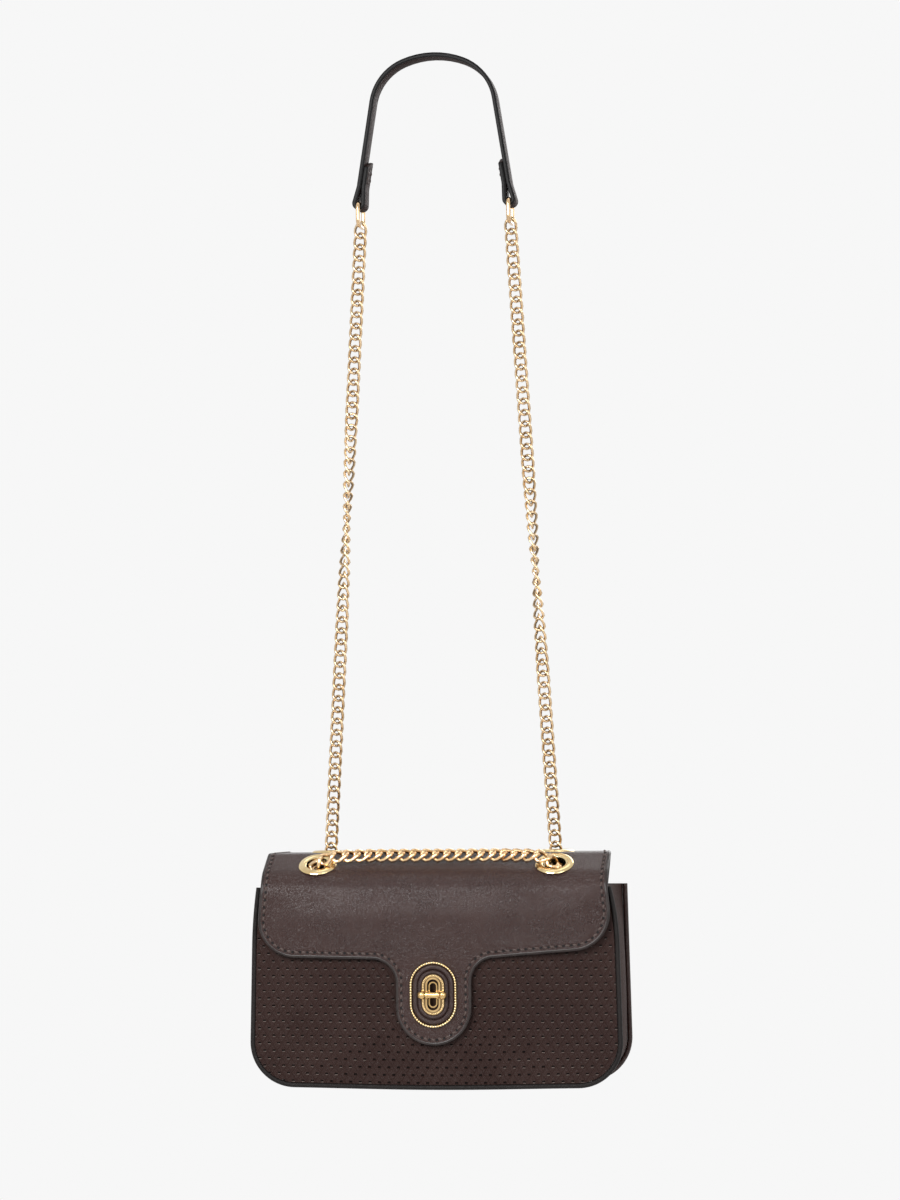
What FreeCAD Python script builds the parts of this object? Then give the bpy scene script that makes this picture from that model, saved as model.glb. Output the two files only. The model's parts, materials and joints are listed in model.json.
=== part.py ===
import FreeCAD, Part
import math
import os
from FreeCAD import Vector

# Chain shoulder bag, hanging from its shoulder strap.
# Lengths are millimetres and angles are degrees.
# The origin is the underside of the strap's crown, where it lies on a shoulder.
# +X is to the right of the bag's front, +Y to its back, +Z up.

# Shoulder strap: a leather strip over the shoulder, folded round a ring at each end
strap_width = 16.0
strap_thickness = 3.0
strap_crown_radius = 55.0
strap_side_radius = 34.0
strap_crown_angle = 22.0
strap_leg_lean = 9.0
strap_leg_length = 69.0
strap_tab_length = 36.0
strap_tab_corner = 5.0
strap_fold_length = 11.0
strap_eye_gap = 0.35

# End rings: bent wire, from the strap's fold to the first link
ring_wire = 2.2
ring_side_gap = 1.8
ring_height = 15.0
ring_corner_radius = 3.2

# Curb chain: one twisted link, repeated
link_pitch = 7.6
link_half_length = 5.4
link_half_width = 3.6
link_half_twist = 1.7
link_wire = 1.6
link_steps = 8
link_hook = 2.2
chain_seat_gap = 0.35
chain_run_up = 6.5
chain_climb_start = 34.0
chain_climb_end = 15.0
chain_climb_radius = 40.0
chain_dive = 3.8
chain_dive_radius = 16.0
inner_loop_drop = 27.0
inner_loop_radius = 14.8
strand_turn = 180.0
strand_turn_shares = {-1: (0.36, 0.74), 1: (0.28, 0.64)}

# Bag body
strap_drop = 532.0
flap_rise = 22.0
body_height = 128.0
body_top_width = 236.0
body_bottom_width = 242.0
body_depth = 58.0
body_corner_radius = 26.0
panel_thickness = 2.2
gusset_thickness = 2.0
piping_diameter = 3.4
piping_gap = 0.05
lining_gap = 1.0
lining_thickness = 0.8
board_end_gap = 7.0
board_thickness = 2.0
board_side_gap = 1.5
pocket_width = 130.0
pocket_height = 76.0
pocket_thickness = 1.2
pocket_corner_radius = 10.0

# Flap: leather from the back seam over the top and down the front, with a rounded tongue
flap_thickness = 2.2
flap_lining_thickness = 0.8
flap_lining_inset = 3.5
flap_front_gap = 3.2
flap_top_half_width = 115.0
flap_low_half_width = 118.0
flap_side_drop = 64.0
flap_middle_drop = 69.0
flap_corner_radius = 18.0
flap_bend_radius = 9.0
flap_slope_angle = 30.0
slope_rise = 15.5
tongue_half_width = 24.4
tongue_drop = 124.8
tongue_fillet_radius = 12.0
hinge_gap = 0.5
back_seam_drop = 48.0
top_back_radius = 10.0

# Eyelets: domed gold flanges with a barrel through the leather and a washer behind it
eyelet_outer_radius = 12.75
eyelet_hole_radius = 7.5
eyelet_crown_radius = 9.8
eyelet_barrel_wall = 0.9
eyelet_height = 1.5
eyelet_lip = 0.7
eyelet_edge = 0.2
eyelet_washer_radius = 11.0
eyelet_washer_thickness = 0.8
eyelet_fit = 0.1
front_eyelet_x = 79.0
front_eyelet_drop = 14.5
back_eyelet_x = 76.0
back_eyelet_y = 10.0

# Turn lock: an oval frame on the tongue and a turning bar on the front panel
lock_tip_rise = 32.6
rim_width = 31.2
rim_height = 43.4
rim_band = 1.6
rim_rise = 2.0
pad_fit = 0.1
pad_rise = 1.6
pad_ridge_inset = 3.4
pad_ridge_band = 1.8
pad_ridge_rise = 0.8
slot_plate_width = 14.6
slot_plate_height = 26.4
slot_plate_rise = 1.4
slot_width = 7.6
slot_height = 20.4
slot_lip_band = 1.2
slot_lip_rise = 2.4
slot_edge_band = 1.5
slot_edge_rise = 2.0
lock_sleeve_wall = 0.6
lock_back_plate_band = 3.4
lock_back_plate_thickness = 0.8
lock_base_width = 13.0
lock_base_height = 26.0
lock_base_thickness = 1.2
lock_boss_width = 5.8
lock_boss_height = 17.0
lock_boss_wall = 0.8
lock_boss_recess = 0.6
lock_washer_radius = 6.0
lock_washer_thickness = 0.7
knob_post_radius = 1.6
knob_post_fit = 0.05
knob_panel_fit = 0.3
knob_bar_length = 19.4
knob_bar_radius = 2.1
knob_ball_radius = 2.8
knob_collar_radius = 2.6
knob_collar_band = 1.2
knob_groove_radius = 1.7
knob_groove_band = 0.7
knob_bar_gap = 0.4

# One overrun serves every cut
overrun = 5.0
tiny = 1e-6

top_z = -strap_drop
mouth_z = top_z - flap_rise
bottom_z = mouth_z - body_height
panel_in_y = body_depth / 2
panel_out_y = panel_in_y + panel_thickness
flap_in_y = panel_out_y + flap_front_gap + flap_lining_thickness
flap_out_y = flap_in_y + flap_thickness
slope = math.radians(flap_slope_angle)
slope_run = slope_rise / math.tan(slope)
fold_y = -flap_out_y + slope_run
hinge_y = fold_y + flap_thickness / 2 * math.tan(slope / 2)
hinge_z = top_z - flap_thickness / 2
slope_up = Vector(0, math.cos(slope), math.sin(slope))
slope_out = Vector(0, -math.sin(slope), math.cos(slope))
front_eyelet_y = fold_y - front_eyelet_drop * math.cos(slope)
front_eyelet_z = top_z - front_eyelet_drop * math.sin(slope)
lock_z = top_z - tongue_drop + lock_tip_rise
board_length = body_bottom_width - 2 * (body_corner_radius + board_end_gap)
across = Vector(1, 0, 0)
backward = Vector(0, 1, 0)
upward = Vector(0, 0, 1)
both_sides = (-1, 1)
side_names = {-1: "left", 1: "right"}


def line(start, end):
    """Straight edge between two points."""
    return Part.LineSegment(start, end).toShape()


def arc(start, middle, end):
    """Circular edge through three points."""
    return Part.Arc(start, middle, end).toShape()


def rounding(before, corner, after, radius):
    """Start, middle and end of the tangent arc that rounds a corner."""
    towards_before = (before - corner).normalize()
    towards_after = (after - corner).normalize()
    half_angle = towards_before.getAngle(towards_after) / 2
    bisector = (towards_before + towards_after).normalize()
    reach = radius / math.tan(half_angle)
    depth = radius / math.sin(half_angle) - radius
    return corner + towards_before * reach, corner + bisector * depth, corner + towards_after * reach


def rounded_wire(points, radii, closed=True):
    """Outline through points, with each corner rounded by its own radius."""
    count = len(points)
    corners = []
    for index, point in enumerate(points):
        if radii[index] > 0:
            corners.append(rounding(points[index - 1], point, points[(index + 1) % count], radii[index]))
        else:
            corners.append((point, point, point))
    edges = []
    for index, (start, middle, end) in enumerate(corners):
        if radii[index] > 0:
            edges.append(arc(start, middle, end))
        following = corners[(index + 1) % count][0]
        last_open = not closed and index == count - 1
        if not last_open and end.distanceToPoint(following) > tiny:
            edges.append(line(end, following))
    return Part.Wire(edges)


def slab(wire, start_y, end_y):
    """Solid between two Y planes, from an outline drawn on the XZ plane."""
    face = Part.Face(wire)
    face.translate(Vector(0, start_y, 0))
    return face.extrude(Vector(0, end_y - start_y, 0))


def stadium(width, height, centre_z):
    """Upright oval on the XZ plane with half-round ends."""
    radius = width / 2
    straight = height / 2 - radius
    top_left = Vector(-radius, 0, centre_z + straight)
    top_right = Vector(radius, 0, centre_z + straight)
    low_left = Vector(-radius, 0, centre_z - straight)
    low_right = Vector(radius, 0, centre_z - straight)
    crown = Vector(0, 0, centre_z + height / 2)
    foot = Vector(0, 0, centre_z - height / 2)
    edges = [
        arc(top_left, crown, top_right),
        line(top_right, low_right),
        arc(low_right, foot, low_left),
        line(low_left, top_left),
    ]
    return Part.Wire(edges)


def oval(width, height, start_y, end_y):
    """Oval slab of the turn lock, between two Y planes."""
    return slab(stadium(width, height, lock_z), start_y, end_y)


def oval_ring(width, height, band, start_y, end_y):
    """Oval ring of the turn lock, between two Y planes."""
    reach = overrun if end_y > start_y else -overrun
    hole = oval(width - 2 * band, height - 2 * band, start_y - reach, end_y + reach)
    return oval(width, height, start_y, end_y).cut(hole)


def rod(radius, start, end):
    """Round rod between two points."""
    span = end - start
    return Part.makeCylinder(radius, span.Length, start, span)


# Shoulder strap


def strap_arc_centres():
    """Centres of the crown arc and of the right side arc of the strap's middle line."""
    crown = Vector(0, 0, strap_thickness / 2 - strap_crown_radius)
    turn = math.radians(strap_crown_angle)
    step = strap_crown_radius - strap_side_radius
    return crown, crown + Vector(math.sin(turn), 0, math.cos(turn)) * step


def on_arc(centre, radius, angle):
    """Point on an arc, with its angle measured from straight up towards +X."""
    turn = math.radians(angle)
    return centre + Vector(math.sin(turn), 0, math.cos(turn)) * radius


def mirrored(point):
    """The same point on the other side of the bag."""
    return Vector(-point.x, point.y, point.z)


def leg_direction(side):
    """Way down along one leg of the strap."""
    lean = math.radians(strap_leg_lean)
    return Vector(side * math.sin(lean), 0, -math.cos(lean))


def leg_inward(side):
    """Way from one leg towards the other, square to the leg."""
    lean = math.radians(strap_leg_lean)
    return Vector(-side * math.cos(lean), 0, -math.sin(lean))


def strap_edges(offset):
    """Right leg, arch and left leg at a distance outside the strap's middle line."""
    crown_centre, side_centre = strap_arc_centres()
    end_angle = math.degrees(math.pi / 2) - strap_leg_lean
    middle_angle = (strap_crown_angle + end_angle) / 2
    crown_end = on_arc(crown_centre, strap_crown_radius + offset, strap_crown_angle)
    side_middle = on_arc(side_centre, strap_side_radius + offset, middle_angle)
    side_end = on_arc(side_centre, strap_side_radius + offset, end_angle)
    foot = side_end + leg_direction(1) * strap_leg_length
    apex = on_arc(crown_centre, strap_crown_radius + offset, 0)
    return [
        line(foot, side_end),
        arc(side_end, side_middle, crown_end),
        arc(crown_end, apex, mirrored(crown_end)),
        arc(mirrored(crown_end), mirrored(side_middle), mirrored(side_end)),
        line(mirrored(side_end), mirrored(foot)),
    ]


def eye_centre(side):
    """Centre of the fold that holds one end ring."""
    side_centre = strap_arc_centres()[1]
    leg_top = on_arc(side_centre, strap_side_radius, math.degrees(math.pi / 2) - strap_leg_lean)
    foot = leg_top + leg_direction(1) * strap_leg_length
    right = foot + leg_inward(1) * (strap_thickness / 2)
    return right if side > 0 else mirrored(right)


def teardrop(side, radius, neck, reach):
    """Outline round a fold: a circle drawn up to a neck, at a reach up the leg."""
    centre = eye_centre(side)
    down = leg_direction(side)
    inward = leg_inward(side)
    tangent = math.atan2(neck, -reach) - math.acos(radius / math.hypot(reach, neck))
    touch_down = down * (radius * math.cos(tangent))
    touch_in = inward * (radius * math.sin(tangent))
    inner_touch = centre + touch_down + touch_in
    outer_touch = centre + touch_down - touch_in
    inner_neck = centre - down * reach + inward * neck
    outer_neck = centre - down * reach - inward * neck
    edges = [
        line(inner_neck, inner_touch),
        arc(inner_touch, centre + down * radius, outer_touch),
        line(outer_touch, outer_neck),
    ]
    if neck > 0:
        edges.append(line(outer_neck, inner_neck))
    return Part.Wire(edges)


def strap_tab(side):
    """Turned-up end of the strip, on the inside of one leg, with a clipped corner."""
    down = leg_direction(side)
    inward = leg_inward(side)
    foot = eye_centre(side) - down * strap_fold_length
    head = eye_centre(side) - down * strap_tab_length
    clip = head + down * strap_tab_corner
    front = backward * (-strap_width / 2)
    back = backward * (strap_width / 2)
    corner = backward * (strap_width / 2 - strap_tab_corner)
    points = [foot + front, head + front, head + corner, clip + back, foot + back, foot + front]
    return Part.Face(Part.makePolygon(points)).extrude(inward * strap_thickness)


def make_strap():
    """Strap strip with a fold and a tab at each end."""
    outer = strap_edges(strap_thickness / 2)
    inner = strap_edges(-strap_thickness / 2)
    right_cap = line(inner[0].firstVertex().Point, outer[0].firstVertex().Point)
    left_cap = line(outer[-1].lastVertex().Point, inner[-1].lastVertex().Point)
    wire = Part.Wire([right_cap] + outer + [left_cap] + list(reversed(inner)))
    half = strap_width / 2
    strap = slab(wire, -half, half)
    eye_radius = ring_wire / 2 + strap_eye_gap
    fold_radius = eye_radius + strap_thickness
    for side in both_sides:
        strap = strap.fuse(slab(teardrop(side, fold_radius, strap_thickness, strap_fold_length), -half, half))
        strap = strap.fuse(strap_tab(side))
    for side in both_sides:
        hole = teardrop(side, eye_radius, 0, strap_fold_length)
        strap = strap.cut(slab(hole, -half - overrun, half + overrun))
    return strap.removeSplitter()


# End rings


def ring_bar_z():
    """Height of the end rings' lower bars."""
    return eye_centre(1).z - ring_height


def make_ring(side):
    """Wire ring that hangs in the strap's fold and carries the chain."""
    centre = eye_centre(side)
    half = strap_width / 2 + ring_side_gap + ring_wire / 2
    top_front = Vector(centre.x, -half, centre.z)
    top_back = Vector(centre.x, half, centre.z)
    low_back = Vector(centre.x, half, centre.z - ring_height)
    low_front = Vector(centre.x, -half, centre.z - ring_height)
    middle = Vector(centre.x, 0, centre.z)
    points = [middle, top_back, low_back, low_front, top_front]
    radii = [0] + [ring_corner_radius] * 4
    path = rounded_wire(points, radii)
    section = Part.Wire(Part.makeCircle(ring_wire / 2, middle, backward))
    return path.makePipeShell([section], True, False)


# Curb chain


def link_point(step):
    """Point on the middle line of a link lying along X, flat on the XY plane."""
    turn = 2 * math.pi * step / link_steps
    return Vector(
        link_half_length * math.cos(turn),
        link_half_width * math.sin(turn),
        link_half_twist * math.sin(2 * turn),
    )


def link_section(step):
    """Four corners of the wire at one step round a link."""
    here = link_point(step)
    along = (link_point(step + 1) - link_point(step - 1)).normalize()
    rise = (upward - along * upward.dot(along)).normalize()
    out = along.cross(rise)
    half = link_wire / 2
    return [
        here + out * half + rise * half,
        here - out * half + rise * half,
        here - out * half - rise * half,
        here + out * half - rise * half,
    ]


def make_link():
    """One curb link of faceted wire, twisted so that its neighbours lie flat."""
    faces = []
    for step in range(link_steps):
        here = link_section(step)
        there = link_section(step + 1)
        for corner in range(len(here)):
            beside = (corner + 1) % len(here)
            first = [here[corner], here[beside], there[beside], here[corner]]
            second = [here[corner], there[beside], there[corner], here[corner]]
            faces.append(Part.Face(Part.makePolygon(first)))
            faces.append(Part.Face(Part.makePolygon(second)))
    shell = Part.Shell(faces)
    shell.sewShape()
    link = Part.Solid(shell)
    if link.Volume < 0:
        link.reverse()
    return link


def slope_point(side, along, up, out):
    """Point beside a front eyelet, measured on the flap's slope from the eyelet's centre."""
    centre = Vector(side * (front_eyelet_x + along), front_eyelet_y, front_eyelet_z)
    return centre + slope_up * up + slope_out * out


def chain_route(side):
    """Path of half the chain: top run, dive through both eyelets, then the strand up to the ring."""
    low = link_half_twist + link_wire / 2 + chain_seat_gap
    high = low + eyelet_height
    eyelet = Vector(side * back_eyelet_x, back_eyelet_y, top_z)
    hook = Vector(eye_centre(side).x, 0, ring_bar_z())
    strand = (hook - eyelet).normalize()
    dive = slope_point(side, chain_dive, 0, high)
    loop_z = top_z - inner_loop_drop
    points = [
        slope_point(side, -front_eyelet_x, chain_run_up, low),
        slope_point(side, -chain_climb_start, chain_run_up, low),
        slope_point(side, -chain_climb_end, chain_run_up / 2, high),
        dive,
        dive - slope_out * ((dive.z - loop_z) / slope_out.z),
        eyelet - strand * (inner_loop_drop / strand.z),
        hook - strand * link_hook,
    ]
    bends = [chain_climb_radius] * 2 + [chain_dive_radius] + [inner_loop_radius] * 2
    route = rounded_wire(points, [0] + bends + [0], False)
    return route.Edges, (points[-1] - eyelet).Length


def on_route(edges, travel):
    """Point and direction at a distance along a chain's path."""
    index = 0
    while index < len(edges) - 1 and travel > edges[index].Length:
        travel -= edges[index].Length
        index += 1
    place = edges[index].getParameterByLength(min(travel, edges[index].Length))
    return edges[index].valueAt(place), edges[index].tangentAt(place)


def place_link(link, centre, along, width):
    """Copy of the link with its length and width along two directions."""
    square = (width - along * width.dot(along)).normalize()
    normal = along.cross(square)
    matrix = FreeCAD.Matrix(
        along.x, square.x, normal.x, centre.x,
        along.y, square.y, normal.y, centre.y,
        along.z, square.z, normal.z, centre.z,
        0, 0, 0, 1,
    )
    return link.transformed(matrix, True)


def strand_width(side, along, share):
    """Width direction of a link in the strand, which turns over once along its length."""
    start, end = strand_turn_shares[side]
    done = min(max((share - start) / (end - start), 0), 1)
    turn = FreeCAD.Rotation(along, -strand_turn * done)
    return turn.multVec(across)


def make_chain(link, side):
    """Links of one side, sorted into the top run, the run inside the bag and the hanging strand."""
    edges, rise = chain_route(side)
    total = sum(edge.Length for edge in edges)
    count = round(total / link_pitch + 1 / 2)
    pitch = total / (count - 1 / 2)
    groups = {"top": [], "inner": [], "strand": []}
    inner_places = []
    for index in range(count):
        travel = pitch * (index + 1 / 2)
        centre, along = on_route(edges, travel)
        height = (centre - slope_point(side, 0, 0, 0)).dot(slope_out)
        if travel > total - rise:
            width = strand_width(side, along, 1 - (total - travel) / rise)
            groups["strand"].append(place_link(link, centre, along, width))
        elif height > -link_half_length:
            groups["top"].append(place_link(link, centre, along, slope_up))
        else:
            inner_places.append((centre, along))
    for index, (centre, along) in enumerate(inner_places):
        share = (index + 1) / (len(inner_places) + 1)
        width = slope_up * (1 - share) - across * share
        groups["inner"].append(place_link(link, centre, along, width))
    return groups


# Bag body


def body_points(inset):
    """Corners of the body's outline, at an inset from its edge."""
    top = body_top_width / 2 - inset
    low = body_bottom_width / 2 - inset
    return [
        Vector(-top, 0, mouth_z),
        Vector(-low, 0, bottom_z + inset),
        Vector(low, 0, bottom_z + inset),
        Vector(top, 0, mouth_z),
    ]


def body_outline(inset):
    """Closed outline of the body: straight sides, rounded bottom corners and an open top edge."""
    corner = body_corner_radius - inset
    return rounded_wire(body_points(inset), [0, corner, corner, 0])


def body_core(inset, half_depth):
    """Solid inside the body's outline that runs out through the mouth."""
    core = slab(body_outline(inset), -half_depth, half_depth)
    mouth = Part.makeBox(
        body_top_width - 2 * inset,
        2 * half_depth,
        overrun,
        Vector(inset - body_top_width / 2, -half_depth, mouth_z),
    )
    return core.fuse(mouth)


def make_front_panel():
    """Front panel with the hole for the knob's post."""
    panel = slab(body_outline(0), -panel_out_y, -panel_in_y)
    hole = rod(
        knob_post_radius + knob_panel_fit,
        Vector(0, -panel_out_y - overrun, lock_z),
        Vector(0, -panel_in_y + overrun, lock_z),
    )
    return panel.cut(hole)


def make_back_panel():
    """Back panel."""
    return slab(body_outline(0), panel_in_y, panel_out_y)


def make_gusset():
    """One strip that forms both sides and the bottom."""
    outer = slab(body_outline(0), -panel_in_y, panel_in_y)
    return outer.cut(body_core(gusset_thickness, panel_in_y + overrun))


def make_piping(side):
    """Corded piping in the seam round a panel."""
    radius = piping_diameter / 2
    outset = -radius - piping_gap
    points = body_points(outset)
    corner = body_corner_radius - outset
    path = rounded_wire(points, [0, corner, corner, 0], closed=False)
    path.translate(Vector(0, side * (panel_in_y + panel_thickness / 2), 0))
    start = path.Edges[0].firstVertex().Point
    along = path.Edges[0].tangentAt(path.Edges[0].FirstParameter)
    section = Part.Wire(Part.makeCircle(radius, start, along))
    return path.makePipeShell([section], True, False)


def lining_inset():
    """Distance from the body's outline to the inside of its lining."""
    return gusset_thickness + lining_gap + lining_thickness


def make_lining():
    """Sewn lining, open at the mouth."""
    outset = gusset_thickness + lining_gap
    half_depth = panel_in_y - lining_gap
    bag = slab(body_outline(outset), -half_depth, half_depth)
    return bag.cut(body_core(lining_inset(), half_depth - lining_thickness))


def make_base_board():
    """Stiff board on the bottom of the lining."""
    half_depth = panel_in_y - lining_gap - lining_thickness - board_side_gap
    floor = bottom_z + lining_inset()
    return Part.makeBox(board_length, 2 * half_depth, board_thickness, Vector(-board_length / 2, -half_depth, floor))


def make_slip_pocket():
    """Flat pocket sewn to the back of the lining."""
    wall = panel_in_y - lining_gap - lining_thickness
    half = pocket_width / 2
    foot = bottom_z + lining_inset() + board_thickness + body_corner_radius / 2
    points = [
        Vector(-half, 0, foot + pocket_height),
        Vector(-half, 0, foot),
        Vector(half, 0, foot),
        Vector(half, 0, foot + pocket_height),
    ]
    wire = rounded_wire(points, [0, pocket_corner_radius, pocket_corner_radius, 0])
    return slab(wire, wall - pocket_thickness, wall)


# Flap


def swept_across(wire, half_width):
    """Solid from a profile drawn on the YZ plane, carried across the bag."""
    face = Part.Face(wire)
    face.translate(Vector(-half_width, 0, 0))
    return face.extrude(Vector(2 * half_width, 0, 0))


def flap_layer(outer_depth, inner_depth, start):
    """Slope and front of one layer of the flap, between two depths below its outer face."""
    lowest = top_z - tongue_drop - overrun
    bend = math.tan(math.pi / 4 - slope / 2)
    hinge = Vector(0, hinge_y, hinge_z)
    lines = []
    for depth in (outer_depth, inner_depth):
        head = hinge - slope_up * start + slope_out * (flap_thickness / 2 - depth)
        corner = Vector(0, -flap_out_y + depth, top_z - slope_rise - depth * bend)
        foot = Vector(0, -flap_out_y + depth, lowest)
        lines.append((head, corner, foot))
    (out_head, out_corner, out_foot), (in_head, in_corner, in_foot) = lines
    points = [out_head, out_corner, out_foot, in_foot, in_corner, in_head]
    bends = [0, flap_bend_radius - outer_depth, 0, 0, flap_bend_radius - inner_depth, 0]
    return swept_across(rounded_wire(points, bends), flap_low_half_width)


def flap_outline(inset):
    """Front view of the flap: rounded sides, a lower edge that dips, and the lock's tongue."""
    top = flap_top_half_width - inset
    low = flap_low_half_width - inset
    tongue = tongue_half_width - inset
    corner = flap_corner_radius - inset
    fillet = tongue_fillet_radius + inset
    right = [
        (Vector(top, 0, top_z + overrun), 0),
        (Vector(low, 0, top_z - flap_side_drop + inset), corner),
        (Vector(tongue, 0, top_z - flap_middle_drop + inset), fillet),
        (Vector(tongue, 0, top_z - tongue_drop + inset), tongue),
    ]
    points = [point for point, radius in right]
    radii = [radius for point, radius in right]
    points += [mirrored(point) for point in reversed(points)]
    radii += list(reversed(radii))
    reach = flap_out_y + overrun
    return slab(rounded_wire(points, radii), -reach, reach)


def eyelet_bores(radius):
    """Rods through both front eyelets, square to the flap's slope."""
    bores = []
    for side in both_sides:
        centre = slope_point(side, 0, 0, 0)
        reach = slope_out * (overrun + flap_thickness)
        bores.append(rod(radius, centre - reach, centre + reach))
    return bores


def make_flap():
    """Moving leather of the flap, with a rounded edge on the fold line."""
    sheet = flap_layer(0, flap_thickness, 0)
    fold = rod(
        flap_thickness / 2,
        Vector(-flap_low_half_width, hinge_y, hinge_z),
        Vector(flap_low_half_width, hinge_y, hinge_z),
    )
    flap = sheet.fuse(fold).common(flap_outline(0))
    barrel = eyelet_hole_radius + eyelet_barrel_wall + eyelet_fit
    for bore in eyelet_bores(barrel):
        flap = flap.cut(bore)
    slot = 2 * (lock_sleeve_wall + pad_fit)
    return flap.cut(oval(slot_width + slot, slot_height + slot, -flap_out_y - overrun, -flap_in_y + overrun))


def make_flap_lining():
    """Thin lining on the inside of the flap."""
    depth = flap_thickness + flap_lining_thickness
    lining = flap_layer(flap_thickness, depth, flap_lining_inset)
    lining = lining.common(flap_outline(flap_lining_inset))
    barrel = eyelet_hole_radius + eyelet_barrel_wall + eyelet_fit
    for bore in eyelet_bores(barrel):
        lining = lining.cut(bore)
    slot = 2 * (lock_sleeve_wall + pad_fit)
    return lining.cut(oval(slot_width + slot, slot_height + slot, -flap_in_y - overrun, -flap_in_y + overrun))


def make_top_panel():
    """Still part of the flap's leather: from the fold over the top to the seam on the back panel."""
    start = hinge_y + flap_thickness / 2 + hinge_gap
    back_out = panel_out_y + flap_thickness
    seam = top_z - back_seam_drop
    points = [
        Vector(0, start, top_z),
        Vector(0, back_out, top_z),
        Vector(0, back_out, seam),
        Vector(0, panel_out_y, seam),
        Vector(0, panel_out_y, top_z - flap_thickness),
        Vector(0, start, top_z - flap_thickness),
    ]
    bends = [0, top_back_radius, 0, 0, top_back_radius - flap_thickness, 0]
    panel = swept_across(rounded_wire(points, bends), flap_top_half_width)
    barrel = eyelet_hole_radius + eyelet_barrel_wall + eyelet_fit
    for side in both_sides:
        centre = Vector(side * back_eyelet_x, back_eyelet_y, top_z)
        panel = panel.cut(rod(barrel, centre - upward * (flap_thickness + overrun), centre + upward * overrun))
    return panel


# Eyelets


def eyelet_shape(grip):
    """Domed flange and barrel, standing on the XY plane, for leather of a given grip."""
    hole = eyelet_hole_radius
    barrel = hole + eyelet_barrel_wall
    outer = eyelet_outer_radius
    crown = eyelet_crown_radius
    inner_mid = (hole + crown) / 2
    outer_mid = (crown + outer) / 2
    inner_rise = eyelet_lip + (eyelet_height - eyelet_lip) * math.sin(math.pi / 3)
    outer_rise = eyelet_edge + (eyelet_height - eyelet_edge) * math.sin(math.pi / 3)
    points = [
        Vector(hole, 0, -grip),
        Vector(hole, 0, eyelet_lip),
        Vector(crown, 0, eyelet_height),
        Vector(outer, 0, eyelet_edge),
        Vector(outer, 0, 0),
        Vector(barrel, 0, 0),
        Vector(barrel, 0, -grip),
    ]
    edges = [
        line(points[0], points[1]),
        arc(points[1], Vector(inner_mid, 0, inner_rise), points[2]),
        arc(points[2], Vector(outer_mid, 0, outer_rise), points[3]),
        line(points[3], points[4]),
        line(points[4], points[5]),
        line(points[5], points[6]),
        line(points[6], points[0]),
    ]
    return Part.Face(Part.Wire(edges)).revolve(Vector(0, 0, 0), upward, math.degrees(2 * math.pi))


def washer_shape(depth):
    """Flat washer round the eyelet's barrel, its top at a depth under the leather's face."""
    hole = eyelet_hole_radius + eyelet_barrel_wall + eyelet_fit
    base = Vector(0, 0, -depth - eyelet_washer_thickness)
    ring = Part.makeCylinder(eyelet_washer_radius, eyelet_washer_thickness, base)
    bore_base = base - upward * overrun
    return ring.cut(Part.makeCylinder(hole, eyelet_washer_thickness + 2 * overrun, bore_base))


def on_slope(shape, side):
    """Copy of a shape, moved from the XY plane to one front eyelet's place."""
    turn = FreeCAD.Rotation(upward, slope_out)
    moved = shape.copy()
    moved.Placement = FreeCAD.Placement(slope_point(side, 0, 0, 0), turn)
    return moved


def on_top(shape, side):
    """Copy of a shape, moved to one back eyelet's place."""
    moved = shape.copy()
    moved.translate(Vector(side * back_eyelet_x, back_eyelet_y, top_z))
    return moved


# Turn lock


def make_lock_rim():
    """Outer oval frame on the tongue."""
    return oval_ring(rim_width, rim_height, rim_band, -flap_out_y - rim_rise, -flap_out_y)


def make_lock_pad():
    """Padded leather ring inside the frame, with a moulded ridge."""
    inset = 2 * (rim_band + pad_fit)
    width = rim_width - inset
    height = rim_height - inset
    face = -flap_out_y - pad_rise
    hole = 2 * pad_fit
    pad = oval(width, height, face, -flap_out_y)
    ridge_inset = 2 * pad_ridge_inset
    ridge_face = face - pad_ridge_rise
    ridge = oval_ring(width - ridge_inset, height - ridge_inset, pad_ridge_band, ridge_face, face)
    reach = -flap_out_y - overrun, -flap_out_y + overrun
    opening = oval(slot_plate_width + hole, slot_plate_height + hole, *reach)
    return pad.fuse(ridge).cut(opening).removeSplitter()


def make_slot_plate():
    """Oval plate round the slot, with raised edges and a sleeve through the leather."""
    outside = -flap_out_y
    sleeve_end = -flap_in_y + flap_lining_thickness + lock_back_plate_thickness
    plate = oval(slot_plate_width, slot_plate_height, outside - slot_plate_rise, outside)
    edge = oval_ring(slot_plate_width, slot_plate_height, slot_edge_band, outside - slot_edge_rise, outside)
    lip_width = slot_width + 2 * slot_lip_band
    lip_height = slot_height + 2 * slot_lip_band
    lip = oval(lip_width, lip_height, outside - slot_lip_rise, outside)
    wall = 2 * lock_sleeve_wall
    sleeve = oval(slot_width + wall, slot_height + wall, outside, sleeve_end)
    slot = oval(slot_width, slot_height, outside - overrun, sleeve_end + overrun)
    return plate.fuse([edge, lip, sleeve]).cut(slot).removeSplitter()


def make_lock_back_plate():
    """Plate behind the flap's lining that holds the sleeve."""
    start = -flap_in_y + flap_lining_thickness
    hole = 2 * (lock_sleeve_wall + pad_fit)
    band = lock_back_plate_band
    width = slot_width + hole + 2 * band
    height = slot_height + hole + 2 * band
    return oval_ring(width, height, band, start, start + lock_back_plate_thickness)


def make_lock_base():
    """Plate on the front panel with an oval boss round the knob's post."""
    face = -panel_out_y - lock_base_thickness
    boss_end = -flap_out_y - slot_lip_rise + lock_boss_recess
    plate = oval(lock_base_width, lock_base_height, face, -panel_out_y)
    boss = oval_ring(lock_boss_width, lock_boss_height, lock_boss_wall, boss_end, face)
    bore = rod(
        knob_post_radius + knob_post_fit,
        Vector(0, face - overrun, lock_z),
        Vector(0, -panel_out_y + overrun, lock_z),
    )
    return plate.fuse(boss).cut(bore).removeSplitter()


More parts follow.
